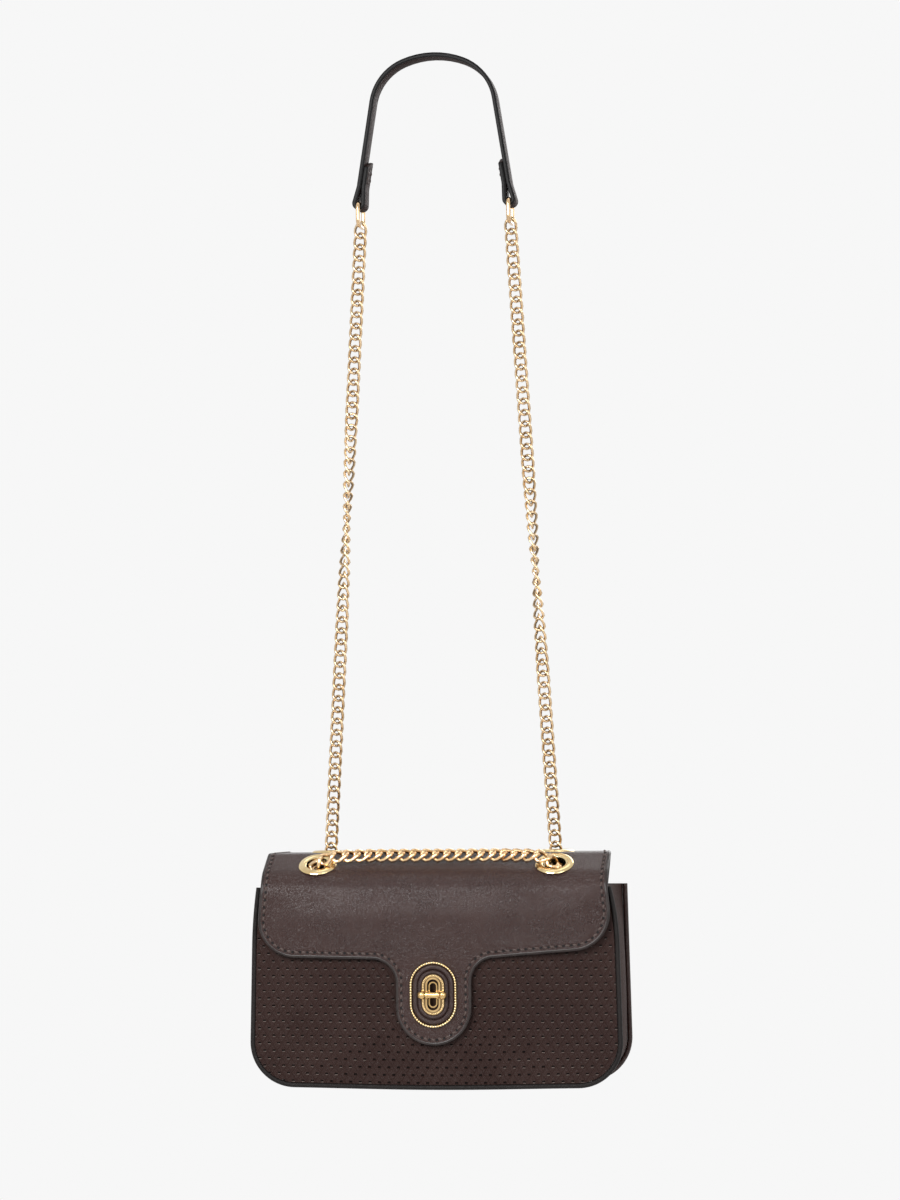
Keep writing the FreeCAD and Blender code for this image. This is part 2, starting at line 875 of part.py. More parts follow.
def make_lock_washer():
    """Washer inside the front panel, behind the lock's base."""
    start = Vector(0, -panel_in_y, lock_z)
    ring = rod(lock_washer_radius, start, start + backward * lock_washer_thickness)
    hole = rod(knob_post_radius + knob_post_fit, start - backward * overrun, start + backward * overrun)
    return ring.cut(hole)


def knob_outline():
    """Half profile of the turning bar along X: balls, grooves, collars and the bar between them."""
    half = knob_bar_length / 2
    ball_x = half - knob_ball_radius
    groove_end = ball_x - math.sqrt(knob_ball_radius ** 2 - knob_groove_radius ** 2)
    groove_start = groove_end - knob_groove_band
    collar_start = groove_start - knob_collar_band
    right = [
        Vector(collar_start, 0, knob_bar_radius),
        Vector(collar_start, 0, knob_collar_radius),
        Vector(groove_start, 0, knob_collar_radius),
        Vector(groove_start, 0, knob_groove_radius),
        Vector(groove_end, 0, knob_groove_radius),
    ]
    tip = Vector(half, 0, 0)
    crest = Vector(ball_x, 0, knob_ball_radius)
    edges = [line(mirrored(right[0]), right[0])]
    for start, end in zip(right, right[1:]):
        edges.append(line(start, end))
    edges.append(arc(right[-1], crest, tip))
    edges.append(line(tip, mirrored(tip)))
    edges.append(arc(mirrored(tip), mirrored(crest), mirrored(right[-1])))
    for start, end in reversed(list(zip(right, right[1:]))):
        edges.append(line(mirrored(end), mirrored(start)))
    return Part.Wire(edges)


def make_turn_knob():
    """Turning bar with ball ends and collars, on a post through the front panel."""
    bar_y = -flap_out_y - slot_lip_rise - knob_bar_gap - knob_ball_radius
    bar = Part.Face(knob_outline()).revolve(Vector(0, 0, 0), across, math.degrees(2 * math.pi))
    centre = Vector(0, bar_y, lock_z)
    bar.translate(centre)
    post_end = Vector(0, -panel_in_y + lock_washer_thickness, lock_z)
    return rod(knob_post_radius, centre, post_end).fuse(bar)


# Export


def save(name, shapes):
    """Write one named piece, or a group of like pieces, to its own file."""
    group = shapes if isinstance(shapes, list) else [shapes]
    solids = [solid for shape in group for solid in shape.Solids]
    whole = solids[0] if len(solids) == 1 else Part.makeCompound(solids)
    whole.exportStep(os.path.join("parts", name + ".step"))


def main():
    """Build every piece and write it."""
    os.makedirs("parts", exist_ok=True)
    save("shoulder_strap", make_strap())
    link = make_link()
    top_links = []
    front_grip = flap_thickness + flap_lining_thickness
    front_eyelet = eyelet_shape(front_grip + eyelet_washer_thickness)
    back_eyelet = eyelet_shape(flap_thickness + eyelet_washer_thickness)
    for side in both_sides:
        name = side_names[side]
        save(name + "_end_ring", make_ring(side))
        groups = make_chain(link, side)
        save(name + "_chain", groups["strand"])
        save(name + "_inner_chain", groups["inner"])
        top_links += groups["top"]
        save(name + "_front_eyelet", on_slope(front_eyelet, side))
        save(name + "_back_eyelet", on_top(back_eyelet, side))
    save("top_chain", top_links)
    front_washer = washer_shape(front_grip)
    back_washer = washer_shape(flap_thickness)
    save("front_eyelet_washers", [on_slope(front_washer, side) for side in both_sides])
    save("back_eyelet_washers", [on_top(back_washer, side) for side in both_sides])
    save("front_panel", make_front_panel())
    save("back_panel", make_back_panel())
    save("gusset", make_gusset())
    save("front_piping", make_piping(-1))
    save("back_piping", make_piping(1))
    save("lining", make_lining())
    save("base_board", make_base_board())
    save("slip_pocket", make_slip_pocket())
    save("top_panel", make_top_panel())
    save("flap", make_flap())
    save("flap_lining", make_flap_lining())
    save("lock_rim", make_lock_rim())
    save("lock_pad", make_lock_pad())
    save("slot_plate", make_slot_plate())
    save("lock_back_plate", make_lock_back_plate())
    save("lock_base", make_lock_base())
    save("lock_washer", make_lock_washer())
    save("turn_knob", make_turn_knob())


main()
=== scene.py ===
import json
import math

import bpy
import numpy as np
from mathutils import Matrix, Vector


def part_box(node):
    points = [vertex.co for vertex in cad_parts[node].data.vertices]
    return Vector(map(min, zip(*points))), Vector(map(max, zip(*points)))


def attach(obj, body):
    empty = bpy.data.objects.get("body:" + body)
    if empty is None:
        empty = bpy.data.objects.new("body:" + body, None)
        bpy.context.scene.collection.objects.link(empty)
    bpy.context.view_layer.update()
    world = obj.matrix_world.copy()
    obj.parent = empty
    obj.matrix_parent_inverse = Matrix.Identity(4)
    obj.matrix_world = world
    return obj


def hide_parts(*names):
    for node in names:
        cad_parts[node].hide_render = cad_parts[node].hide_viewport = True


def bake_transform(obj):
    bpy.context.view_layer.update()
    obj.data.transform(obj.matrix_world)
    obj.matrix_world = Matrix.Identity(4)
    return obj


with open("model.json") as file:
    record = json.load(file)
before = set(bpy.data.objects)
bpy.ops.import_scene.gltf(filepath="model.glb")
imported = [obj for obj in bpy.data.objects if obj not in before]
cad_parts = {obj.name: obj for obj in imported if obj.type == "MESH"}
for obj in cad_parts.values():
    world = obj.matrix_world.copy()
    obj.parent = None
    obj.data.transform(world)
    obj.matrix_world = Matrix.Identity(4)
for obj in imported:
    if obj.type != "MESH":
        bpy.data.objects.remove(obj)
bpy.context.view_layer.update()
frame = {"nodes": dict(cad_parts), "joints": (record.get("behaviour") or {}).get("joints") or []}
nodes = frame["nodes"]
joints = {joint["name"]: joint for joint in frame["joints"]}

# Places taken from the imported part. All lengths are in metres.
TOP_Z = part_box("top_panel")[1].z
SEAM_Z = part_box("top_panel")[0].z
BACK_OUT_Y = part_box("top_panel")[1].y
FLAP_OUT_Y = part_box("flap")[0].y
TONGUE_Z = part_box("flap")[0].z
MOUTH_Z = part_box("front_panel")[1].z
BOTTOM_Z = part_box("front_panel")[0].z
PANEL_OUT_Y = -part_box("front_panel")[0].y
PANEL_IN_Y = -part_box("front_panel")[1].y
LOCK_FACE_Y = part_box("lock_rim")[1].y
LOCK = Vector(joints["knob_turn"]["pos_m"])

# Modelling
UP = Vector((0, 0, 1))
MERGE = 2e-6
STRAIGHT = 1e-6
ROUND_END_GAP = 1e-5
FLAT_FACING = 0.9
SQUARE_FACING = 0.99
CUT_DEPTH = 0.02
PUNCH_SIDES = 40
LEATHER_SMOOTH = 40
ROUND_SMOOTH = 60
# How long a run and how wide a turn one segment takes, about
BOARD_STEPS = (1.0, 0.12)
STRAP_STEPS = (0.012, 0.1)
RING_STEPS = (0.004, 0.2)
PIPING_STEPS = (0.004, 0.08)
GUSSET_STEPS = (0.006, 0.1)
EDGE_STEPS = (0.0018, 0.1)
LOCK_STEPS = (0.004, 0.12)

# Shoulder strap
STRAP_WIDTH = 0.016
STRAP_THICKNESS = 0.003
STRAP_BEVEL = 0.0007
STRAP_BEVEL_ANGLE = math.radians(50)
STRAP_EDGE_FACING = 0.35
CROWN_RADIUS = 0.055
SIDE_RADIUS = 0.034
CROWN_ANGLE = math.radians(22)
LEG_LEAN = math.radians(9)
FOLD_LENGTH = 0.011
FOLD_RADIUS = 0.00295
FOLD_SPREAD = 0.00338
NECK_RADIUS = 0.008
TAB_LENGTH = 0.030
TAB_GAP = 0.0001
TAB_CLIP = 0.005
TAB_CLIP_REACH = 0.0045
TAB_STITCH_END = 0.004
TAB_STITCH_SIDE = 0.0026
TAB_STITCH_CORNER = 0.001
TAB_STITCH_LIFT = 0.0002
RING_WIRE_RADIUS = 0.0011
RING_STOUT_RADIUS = 0.00135
RING_CORNER = 0.0042
RING_SIDES = 10

# Curb links, and how those of the run on the flap differ
LINK_HALF_LENGTH = 0.0054
LINK_HALF_WIDTH = 0.0036
LINK_HALF_TWIST = -0.0019
LINK_WIRE_RADIUS = 0.00102
LINK_SEGMENTS = 14
LINK_WIRE_SIDES = 5
LINK_TRIANGLES = 64
# Share of painted shade on the inner side of the links' wire
LINK_INNER_SHADE = 0.9
RUN_WIRE_RADIUS = 0.0016
RUN_SLANT = math.radians(16)
RUN_ROLL = math.radians(14)
RUN_LIFT = Vector((0, -0.0022, 0.0018))
# Fainter painted shade on the inner side of the run's links
RUN_INNER_SHADE = 0.45

# Body
BODY_TOP_HALF = 0.118
BODY_LOW_HALF = 0.121
BODY_CORNER = 0.026
PANEL_THICKNESS = 0.0022
PANEL_FULLNESS = 0.0026
PANEL_CALM_AT_LOCK = (0.030, 0.036)
PANEL_RIPPLE = 0.25
RIPPLE_ACROSS, RIPPLE_SHIFT, RIPPLE_UP = 41, 0.8, 33
PANEL_CUT_DEPTH = 0.012
PANEL_SMOOTH = 32
BOTTOM_SAG = 0.0016
GUSSET_THICKNESS = 0.002
GUSSET_SECTION = 32
GUSSET_EDGE_SHARE = 0.99
SIDE_START = 0.095
SIDE_BLEND = 0.02
SIDE_SWELL = 0.0026
MOUTH_PLEAT = 0.0035
MOUTH_PLEAT_SHARE = 0.28
PLEAT_ROUND = 1.5
PIPING_RADIUS = 0.0017
PIPING_GAP = 0.00005
PIPING_SIDES = 12
MOUTH_PULL = 0.0045
MOUTH_PULL_SHARE = 0.3
MOUTH_PULL_START = 0.085
MOUTH_PULL_BLEND = 0.03
LEFT_PULL_SHARE = 0.5
LINING_INSET = 0.003
LINING_THICKNESS = 0.0008
LINING_GAP = 0.001
LINING_ROWS = 8
POCKET_CORNERS = [0.001, 0.010, 0.010, 0.001]
POCKET_BEVEL = 0.0003
POCKET_BEVEL_ANGLE = math.radians(60)

# Pits of the panels: a grid of cells, of which each fourth in each third row is pushed in
PIT_COLUMNS = 156
PIT_ROWS = 84
PIT_COLUMN_STEP = 4
PIT_ROW_STEP = 3
PIT_WIDE = 0.0022
PIT_SPACE = 0.0010
PIT_TALL = 0.0016333
PIT_DEPTH = 0.0007
PIT_RIM = 0.0001
PIT_WALL = 0.00014
PIT_LIP = 0.00018
# Upward-facing lower walls of the pits get a pale colour as painted glints, except in an uneven oval at
# the lower middle of the panel
LIP_FACING = 0.3
UNLIT_LIP_OVAL = (0.060, 0.034)
UNLIT_LIP_UNEVEN = 0.35
UNLIT_LIP_WAVES = (4100, 7300)

# Flap, drawn flat: across the bag, and along the leather from the back seam
FLAP_THICKNESS = 0.0022
FLAP_BACK_HALF = 0.1045
FLAP_BACK_CORNER = 0.003
FLAP_TOP_HALF = 0.1142
FLAP_TOP_BEND = 0.02
FLAP_WAIST_DROP = 0.020
FLAP_WAIST_BEND = 0.08
FLAP_LOW_HALF = 0.118
FLAP_SIDE_DROP = 0.064
FLAP_MIDDLE_DROP = 0.069
FLAP_LEAN = 0.0028
FLAP_CORNER = 0.024
TONGUE_HALF = 0.0244
TONGUE_FILLET = 0.016
TONGUE_END_GAP = 0.0002
TOP_BACK_RADIUS = 0.010
FOLD_BEND_RADIUS = 0.008
FRONT_BEND_RADIUS = 0.019
FRONT_SPARE = 0.05
SLOPE = math.radians(30)
SLOPE_RISE = 0.0155
SHEET_CELL = (0.004, 0.0016)
SHEET_MARGIN = 0.004
EDGE_RADIUS = 0.0014
EDGE_INSET = 0.0005
EDGE_SIDES = 8
LINING_MARGIN = 0.0035
LINING_EYELET_HOLE = 0.0116
LINING_SLOT = (0.0212, 0.0340)

# How the flap's leather settles: a swell and slow waves, calm at the lock and at the eyelets
FLAP_FULLNESS = 0.0040
SWELL_START = 0.004
SWELL_LOW = 1.6
SWELL_ROUND = 1.2
WAVE_HEIGHT = 0.0003
WAVE_START = 0.03
LONG_WAVE = ((36, 1.1), (52, 0.6))
SHORT_WAVE = (71, 43)
SHORT_WAVE_SHARE = 0.5
FLAP_CALM_AT_LOCK = (0.030, 0.034)
FLAP_CALM_AT_EYELET = 0.0125
FLAP_CALM_BLEND = 0.026

# Stitches
STITCH_INSET = 0.0031
STITCH_BACK = 0.004
STITCH_LIFT = 0.00012
STITCH_PITCH = 0.0050
STITCH_LENGTH = 0.0036
STITCH_WIDTH = 0.0015
STITCH_HEIGHT = 0.0013
STITCH_DIP = 170
STITCH_SLANT = math.radians(14)
STITCH_SEGMENTS, STITCH_RINGS = 6, 5
HOLE_SIDES = 6
HOLE_RADIUS = 0.0009
HOLE_RIM = 0.25
HOLE_LIFT = 0.00024
HOLE_DISH = 0.0001

# Metal
EYELET_HOLE = 0.0085
EYELET_X = 0.079
EYELET_SLOPE_DROP = 0.0145
BACK_EYELET_X = 0.076
BACK_EYELET_Y = 0.010
SLOT_OPENING = (0.0088, 0.0216)
SLOT_PLATE_SIZE = (0.0146, 0.0264)
RIM_SIZE = (0.0312, 0.0434)
RIM_BAND = 0.0016
RIM_RISE = 0.0020
RIM_WIRE_SHARE = 0.42
RIM_MIDDLE_SHARE = 0.5
RIM_STRETCH = 1.2
RIM_SIDES = 10
RIM_BEAD = (0.00088, 0.0017)
RIM_BEAD_SHARE = 0.85
PLATE_BEAD = (0.00052, 0.00112)
PLATE_BEAD_INSET = 0.0013
PLATE_BEAD_RISE = 0.0018
BEAD_FLATNESS = 0.85
BEAD_SEGMENTS, BEAD_RINGS = 8, 5
PAD_SIZE = (0.0278, 0.0400)
PAD_SIDES = 12
# Both rings of the pad: size, change to that size, half width and rise
PAD_RINGS = [(PAD_SIZE, -0.0038, 0.00195, 0.0018), (SLOT_PLATE_SIZE, 0.0030, 0.00165, 0.0022)]
# Painted shade in and round the lock's boss: the depths and half size of the darkened zone
LOCK_SHADE_DEPTHS = (-0.0388, -0.0376)
BOSS_SHADE_SIZE = (0.0043, 0.0107)
# Painted shade on the slot plate's floor: its depths and how much of it
PLATE_GROOVE = (0.0019, 0.0015)
PLATE_GROOVE_SHADE = 0.92
GOLD_STAIN = 0.25
GOLD_POLISH = (-0.05, 0.08)
GOLD_SCRATCH = 0.12
# Dark tone of the painted shade on the gold
GOLD_SHADE_TONE = (0.030, 0.018, 0.012)

# Grain and wear of the leather
PORE_SHARE = 0.8
PORE_HEIGHT = 0.5
CREASE_WIDTH = 0.22
SPECKLE_RANGE = (0.36, 0.64)
SPECKLE_SHARE = 0.6
MOTTLE_SCALE = 38.0
MOTTLE_RANGE = (0.32, 0.68)
MOTTLE_SHARE = 0.4
RUB_RANGE = (0.46, 0.74)
RUB_SHARE = 0.45
RUB_SHINE = -0.06
CREASE_SHARE = 0.35
CREASE_SHINE = -0.05
SCRATCH_RANGE = (0.66, 0.72)
GRAIN_STRENGTH = 0.5
NET_DEPTH = 5.0
NET_WIDTH = 0.06
NET_OFFSET = 100.0
NET_FADE = (0.040, 0.085)
NET_SHARE = (0.08, 0.55)

# Studio
BACKDROP_TONE = (0.93, 0.93, 0.93)
ROOM_TONE = (0.55, 0.55, 0.56)
FLOOR_TONES = ((0.86, 0.86, 0.86), (0.89, 0.89, 0.89))
FLOOR_SIZE = 2.0
FLOOR_Z = -1.06
FLOOR_FADE = (0.25, 0.95)
# Place, the height it is aimed at, size and power
LAMPS = {
    "key_lamp": ((-0.45, -1.5, 0.10), -0.5, 0.9, 31),
    "fill_lamp": ((1.0, -1.3, -0.2), -0.5, 0.8, 9),
    "top_lamp": ((0.1, 0.2, 1.0), -0.4, 0.8, 2.5),
    "back_lamp": ((0.5, 1.3, 0.3), -0.4, 0.9, 8),
}
CAMERA_TURN = math.radians(8.5)
CAMERA_RISE = math.radians(-2.4)
CAMERA_ROLL = math.radians(-0.5)
CAMERA_DISTANCE = 2.6
CAMERA_LENS = 116.9
CAMERA_SENSOR = 36.0
CAMERA_TARGET = Vector((0.0077, 0, -0.3640))


# Hand tools


def only(*pieces):
    """Selects these pieces alone and makes the first of them active."""
    bpy.ops.object.select_all(action="DESELECT")
    for piece in pieces:
        piece.select_set(True)
    bpy.context.view_layer.objects.active = pieces[0]


def call_it(piece, name):
    """Names a piece and its mesh."""
    piece.name = name
    piece.data.name = name
    return piece


def fresh(name):
    """Names the shape that was just added and fixes its place in its mesh."""
    piece = call_it(bpy.context.object, name)
    only(piece)
    bpy.ops.object.transform_apply(location=True, rotation=True, scale=True)
    return piece


def open_mesh(piece, kind="FACE"):
    """Goes into edit mode on a piece with nothing selected."""
    only(piece)
    bpy.ops.object.mode_set(mode="EDIT")
    bpy.ops.mesh.select_mode(type=kind)
    bpy.ops.mesh.select_all(action="DESELECT")


def close_mesh():
    """Goes back to object mode."""
    bpy.ops.object.mode_set(mode="OBJECT")


def take_all():
    """Selects the whole mesh in edit mode."""
    bpy.ops.mesh.select_all(action="SELECT")


def pull(move):
    """Extrudes what is selected."""
    bpy.ops.mesh.extrude_region_move(TRANSFORM_OT_translate={"value": move})


def pick_faces(piece, test):
    """Selects the faces that pass a test and stays in edit mode."""
    open_mesh(piece)
    close_mesh()
    for face in piece.data.polygons:
        face.select = bool(test(face))
    bpy.ops.object.mode_set(mode="EDIT")


def sew(piece):
    """Merges doubles, caps open ends and turns the faces outwards."""
    open_mesh(piece, "VERT")
    take_all()
    bpy.ops.mesh.remove_doubles(threshold=MERGE)
    bpy.ops.mesh.fill_holes(sides=0)
    take_all()
    bpy.ops.mesh.normals_make_consistent(inside=False)
    close_mesh()


def modify(piece, kind, **settings):
    """Adds one modifier and applies it."""
    only(piece)
    modifier = piece.modifiers.new(kind.lower(), kind)
    for key, value in settings.items():
        setattr(modifier, key, value)
    bpy.ops.object.modifier_apply(modifier=modifier.name)


def ease_edges(piece, width, angle):
    """Bevels the edges that are sharper than an angle."""
    modify(piece, "BEVEL", width=width, segments=2, limit_method="ANGLE", angle_limit=angle)


def cut(piece, tool, operation):
    """Cuts a piece by a second solid, which is then removed."""
    modify(piece, "BOOLEAN", object=tool, operation=operation, solver="EXACT")
    bpy.data.objects.remove(tool)


def smooth(piece, degrees):
    """Smooth shading that keeps edges sharper than an angle."""
    only(piece)
    bpy.ops.object.shade_smooth_by_angle(angle=math.radians(degrees))


def shape(piece, *moves):
    """Moves every corner of a mesh by hand: each move takes and gives an array of points."""
    points = np.empty(len(piece.data.vertices) * 3)
    for move in moves:
        piece.data.vertices.foreach_get("co", points)
        moved = move(points.reshape(-1, 3))
        piece.data.vertices.foreach_set("co", np.ascontiguousarray(moved).ravel())
    piece.data.update()


def join(pieces, name):
    """Joins pieces into one."""
    only(*pieces)
    bpy.ops.object.join()
    return call_it(bpy.context.object, name)


def copy_to(piece, matrices, name):
    """Copies of one piece, each with its own mesh, joined into one."""
    copies = []
    for matrix in matrices:
        twin = piece.copy()
        twin.data = piece.data.copy()
        twin.data.transform(matrix)
        bpy.context.scene.collection.objects.link(twin)
        copies.append(twin)
    bpy.data.objects.remove(piece)
    return join(copies, name)


def dress(piece, material):
    """Gives a piece its finish."""
    piece.data.materials.clear()
    piece.data.materials.append(material)


# Drawing along a line of straight runs and round turns


def route(corners, radii, closed=False):
    """Start and moves of a line through corners, each rounded by its radius."""
    count = len(corners)
    turns = []
    for place, (corner, radius) in enumerate(zip(corners, radii)):
        into = (corner - corners[place - 1]).normalized()
        out = (corners[(place + 1) % count] - corner).normalized()
        angle = into.angle(out)
        axis = into.cross(out)
        if radius == 0 or axis.length < STRAIGHT:
            turns.append((corner, corner, None))
            continue
        axis.normalize()
        reach = radius * math.tan(angle / 2)
        first = corner - into * reach
        centre = first + axis.cross(into) * radius
        turns.append((first, corner + out * reach, (centre, axis, angle)))
    start = (turns[-1][1] + turns[0][0]) / 2 if closed else turns[0][1]
    here = start
    moves = []
    for first, last, bend in turns if closed else turns[1:]:
        moves.append(("run", first - here))
        if bend:
            moves.append(("turn", bend))
        here = last
    if closed:
        moves.append(("run", start - here))
    return start, moves


def mirrored(half):
    """The other half of an outline, as (corner, radius), in reverse order."""
    return [(Vector((-corner.x, corner.y, corner.z)), radius) for corner, radius in reversed(half)]


def four_corners(left, right, low, high, place):
    """Corners down the left side and up the right one; place makes a point of (across, up)."""
    return [place(*spot) for spot in ((left, high), (left, low), (right, low), (right, high))]


def oval(width, height, place):
    """A line round an upright oval with round ends; place makes a point of (across, up)."""
    half, tall = width / 2, height / 2
    return route(four_corners(-half, half, -tall, tall, place), [half - ROUND_END_GAP] * 4, True)


def facing_along(moves):
    """Turn of a flat section that looks along the first run."""
    first = next(move for kind, move in moves if kind == "run" and move.length > MERGE)
    return UP.rotation_difference(first.normalized()).to_euler()


def draw(moves, steps):
    """Carries the selected section along the moves."""
    run_step, turn_step = steps
    for kind, move in moves:
        if kind == "run" and move.length > MERGE:
            segments = max(1, round(move.length / run_step))
            for _ in range(segments):
                pull(move / segments)
        elif kind == "turn":
            centre, axis, angle = move
            segments = max(2, round(angle / turn_step))
            bpy.ops.mesh.spin(steps=segments, angle=-angle, center=centre, axis=axis)


def carry(section, moves, steps):
    """Draws a whole section along the moves and closes the result."""
    open_mesh(section, "EDGE")
    take_all()
    draw(moves, steps)
    close_mesh()
    sew(section)
    return section


def tube(name, line, radius, sides, steps):
    """A round cord drawn along a line."""
    start, moves = line
    bpy.ops.mesh.primitive_circle_add(
        vertices=sides, radius=radius, location=start, rotation=facing_along(moves)
    )
    return carry(fresh(name), moves, steps)


def strip(name, line, width, height, steps):
    """A flat band drawn along a line: width lies across Y and height in the line's plane."""
    start, moves = line
    bpy.ops.mesh.primitive_plane_add(size=1, location=start, rotation=facing_along(moves))
    bpy.context.object.scale = (height, width, 1)
    piece = fresh(name)
    open_mesh(piece)
    take_all()
    bpy.ops.mesh.delete(type="ONLY_FACE")
    close_mesh()
    return carry(piece, moves, steps)


def board(name, line, depth):
    """A flat board with the outline of a closed line, raised by depth."""
    start, moves = line
    bpy.ops.mesh.primitive_plane_add(size=MERGE * 2, location=start)
    piece = fresh(name)
    open_mesh(piece, "VERT")
    take_all()
    bpy.ops.mesh.merge(type="CENTER")
    take_all()
    draw(moves, BOARD_STEPS)
    take_all()
    bpy.ops.mesh.remove_doubles(threshold=MERGE)
    take_all()
    bpy.ops.mesh.edge_face_add()
    pull(depth)
    close_mesh()
    sew(piece)
    return piece


def cutter(name, line, depth=CUT_DEPTH):
    """A solid that cuts flat leather to a closed line, which lies half its depth below."""
    return board(name, line, Vector((0, 0, depth)))


def along(line, pitch):
    """Points and directions spaced evenly along a closed line."""
    here, moves = line
    legs = []
    for kind, move in moves:
        if kind == "run":
            if move.length > MERGE:
                legs.append((move.length, here.copy(), move.normalized(), None))
            here = here + move
        else:
            centre, axis, angle = move
            arm = here - centre
            legs.append((arm.length * angle, arm.copy(), axis, centre))
            here = centre + Matrix.Rotation(angle, 3, axis) @ arm
    total = sum(leg[0] for leg in legs)
    count = max(1, round(total / pitch))
    found = []
    for index in range(count):
        travel = total / count * (index + 0.5)
        for length, base, direction, centre in legs:
            if travel <= length:
                break
            travel -= length
        if centre is None:
            found.append((base + direction * travel, direction))
        else:
            turn = Matrix.Rotation(travel / base.length, 3, direction)
            found.append((centre + turn @ base, direction.cross(turn @ base).normalized()))
    return found


# Finishes


def feed(tree, value, socket):
    """Sets a socket to a number or colour, or links another socket to it."""
    if isinstance(value, (int, float)):
        socket.default_value = value
    elif isinstance(value, tuple):
        socket.default_value = (*value, 1.0)
    else:
        tree.links.new(value, socket)


def feed_all(tree, node, inputs):
    """Sets or links several inputs of a node."""
    for label, value in inputs.items():
        feed(tree, value, node.inputs[label])


def add_node(tree, kind, inputs, **settings):
    """A new shader node with its settings and inputs."""
    node = tree.nodes.new("ShaderNode" + kind)
    for key, value in settings.items():
        setattr(node, key, value)
    feed_all(tree, node, inputs)
    return node


def math_node(tree, operation, *values):
    """A maths node; each input is a number or a socket."""
    return add_node(tree, "Math", dict(enumerate(values)), operation=operation).outputs[0]


def object_place(tree):
    """Place on a piece, in its Object coordinates."""
    return add_node(tree, "TexCoord", {}).outputs["Object"]


def object_axes(tree):
    """The same place as its X, Y and Z."""
    return add_node(tree, "SeparateXYZ", {0: object_place(tree)}).outputs


def noise(tree, place, scale, detail, roughness=0.55):
    """Noise at a scale, which is a number or a socket."""
    inputs = {"Vector": place, "Scale": scale, "Detail": detail, "Roughness": roughness}
    return add_node(tree, "TexNoise", inputs).outputs["Fac"]


def slanted_bands(tree, scale, distortion):
    """Slanted bands, as of twisted or woven threads."""
    inputs = {"Vector": object_place(tree), "Scale": scale, "Distortion": distortion}
    return add_node(tree, "TexWave", inputs, bands_direction="DIAGONAL").outputs["Fac"]


def ramp(tree, value, low, high, to_low=0.0, to_high=1.0):
    """Maps a range of values to another, clamped."""
    inputs = {"Value": value, "From Min": low, "From Max": high, "To Min": to_low, "To Max": to_high}
    return add_node(tree, "MapRange", inputs).outputs["Result"]


def mix_colour(tree, share, first, second):
    """Blends two colours; each is a colour or a socket."""
    node = add_node(tree, "Mix", {"Factor": share}, data_type="RGBA")
    for label, value in (("A", first), ("B", second)):
        feed(tree, value, next(s for s in node.inputs if s.name == label and s.type == "RGBA"))
    return next(s for s in node.outputs if s.type == "RGBA")


def bump(tree, shader, height, strength, distance):
    """Relief from a height."""
    relief = add_node(tree, "Bump", {"Height": height, "Strength": strength, "Distance": distance})
    tree.links.new(relief.outputs["Normal"], shader.inputs["Normal"])


def socket_group(name, inputs, outputs):
    """An empty shader group with named sockets."""
    group = bpy.data.node_groups.new(name, "ShaderNodeTree")
    for label, value in inputs:
        socket = group.interface.new_socket(label, in_out="INPUT", socket_type="NodeSocketFloat")
        socket.default_value = value
    for label in outputs:
        group.interface.new_socket(label, in_out="OUTPUT", socket_type="NodeSocketFloat")
    return group, group.nodes.new("NodeGroupInput"), group.nodes.new("NodeGroupOutput")


def place_group(tree, group, **values):
    """A group node with its own values."""
    inputs = {label.replace("_", " "): value for label, value in values.items()}
    return add_node(tree, "Group", inputs, node_tree=group)


def make_leather_grain():
    """Fine pebbled hide: cells with creases, pores and a slow unevenness."""
    group, given, result = socket_group(
        "leather_grain",
        [("Pebble Scale", 900.0), ("Pore Scale", 2600.0)],
        ["Height", "Crease", "Mottle", "Speckle"],
    )
    place = object_place(group)
    inputs = {"Vector": place, "Scale": given.outputs["Pebble Scale"]}
    pebble = add_node(group, "TexVoronoi", inputs, feature="DISTANCE_TO_EDGE")
    crease = ramp(group, pebble.outputs["Distance"], 0.0, CREASE_WIDTH)
    pore = noise(group, place, given.outputs["Pore Scale"], detail=2.0)
    height = math_node(group, "MULTIPLY_ADD", pore, PORE_HEIGHT, crease)
    mottle = noise(group, place, MOTTLE_SCALE, detail=3.0)
    speckle = ramp(group, pore, *SPECKLE_RANGE)
    feed_all(
        group, result, {"Height": height, "Crease": crease, "Mottle": mottle, "Speckle": speckle}
    )
    return group


def make_handling():
    """Marks of use: soft rubs and a few fine scratches."""
    group, given, result = socket_group(
        "handling", [("Rub Scale", 22.0), ("Scratch Scale", 160.0)], ["Rub", "Scratch"]
    )
    place = object_place(group)
    rub = noise(group, place, given.outputs["Rub Scale"], detail=5.0, roughness=0.62)
    stretch = add_node(group, "Mapping", {"Vector": place})
    stretch.inputs["Scale"].default_value = (1.0, 1.0, 0.08)
    stretch.inputs["Rotation"].default_value = (0.4, 0.7, 0.3)
    line = noise(group, stretch.outputs["Vector"], given.outputs["Scratch Scale"], detail=2.0)
    marks = {"Rub": ramp(group, rub, *RUB_RANGE), "Scratch": ramp(group, line, *SCRATCH_RANGE)}
    feed_all(group, result, marks)
    return group


def finish_start(name, roughness, metallic=0.0, specular=0.5):
    """A material with its shader, ready for its own nodes."""
    material = bpy.data.materials.new(name)
    material.use_nodes = True
    tree = material.node_tree
    shader = tree.nodes["Principled BSDF"]
    inputs = {"Roughness": roughness, "Metallic": metallic, "Specular IOR Level": specular}
    feed_all(tree, shader, inputs)
    return material, tree, shader


def net_lines(tree):
    """Lines that cross at the pits: 0 on a line, 1 beside it."""
    axes = object_axes(tree)
    across = math_node(tree, "DIVIDE", axes["X"], 2 * (PIT_WIDE + PIT_SPACE))
    down = math_node(tree, "DIVIDE", axes["Z"], 2 * PIT_ROW_STEP * PIT_TALL)
    lines = []
    for operation in ("ADD", "SUBTRACT"):
        phase = math_node(tree, "ADD", math_node(tree, operation, across, down), NET_OFFSET)
        lines.append(ramp(tree, math_node(tree, "PINGPONG", phase, 0.5), 0.0, NET_WIDTH))
    return math_node(tree, "MINIMUM", *lines)


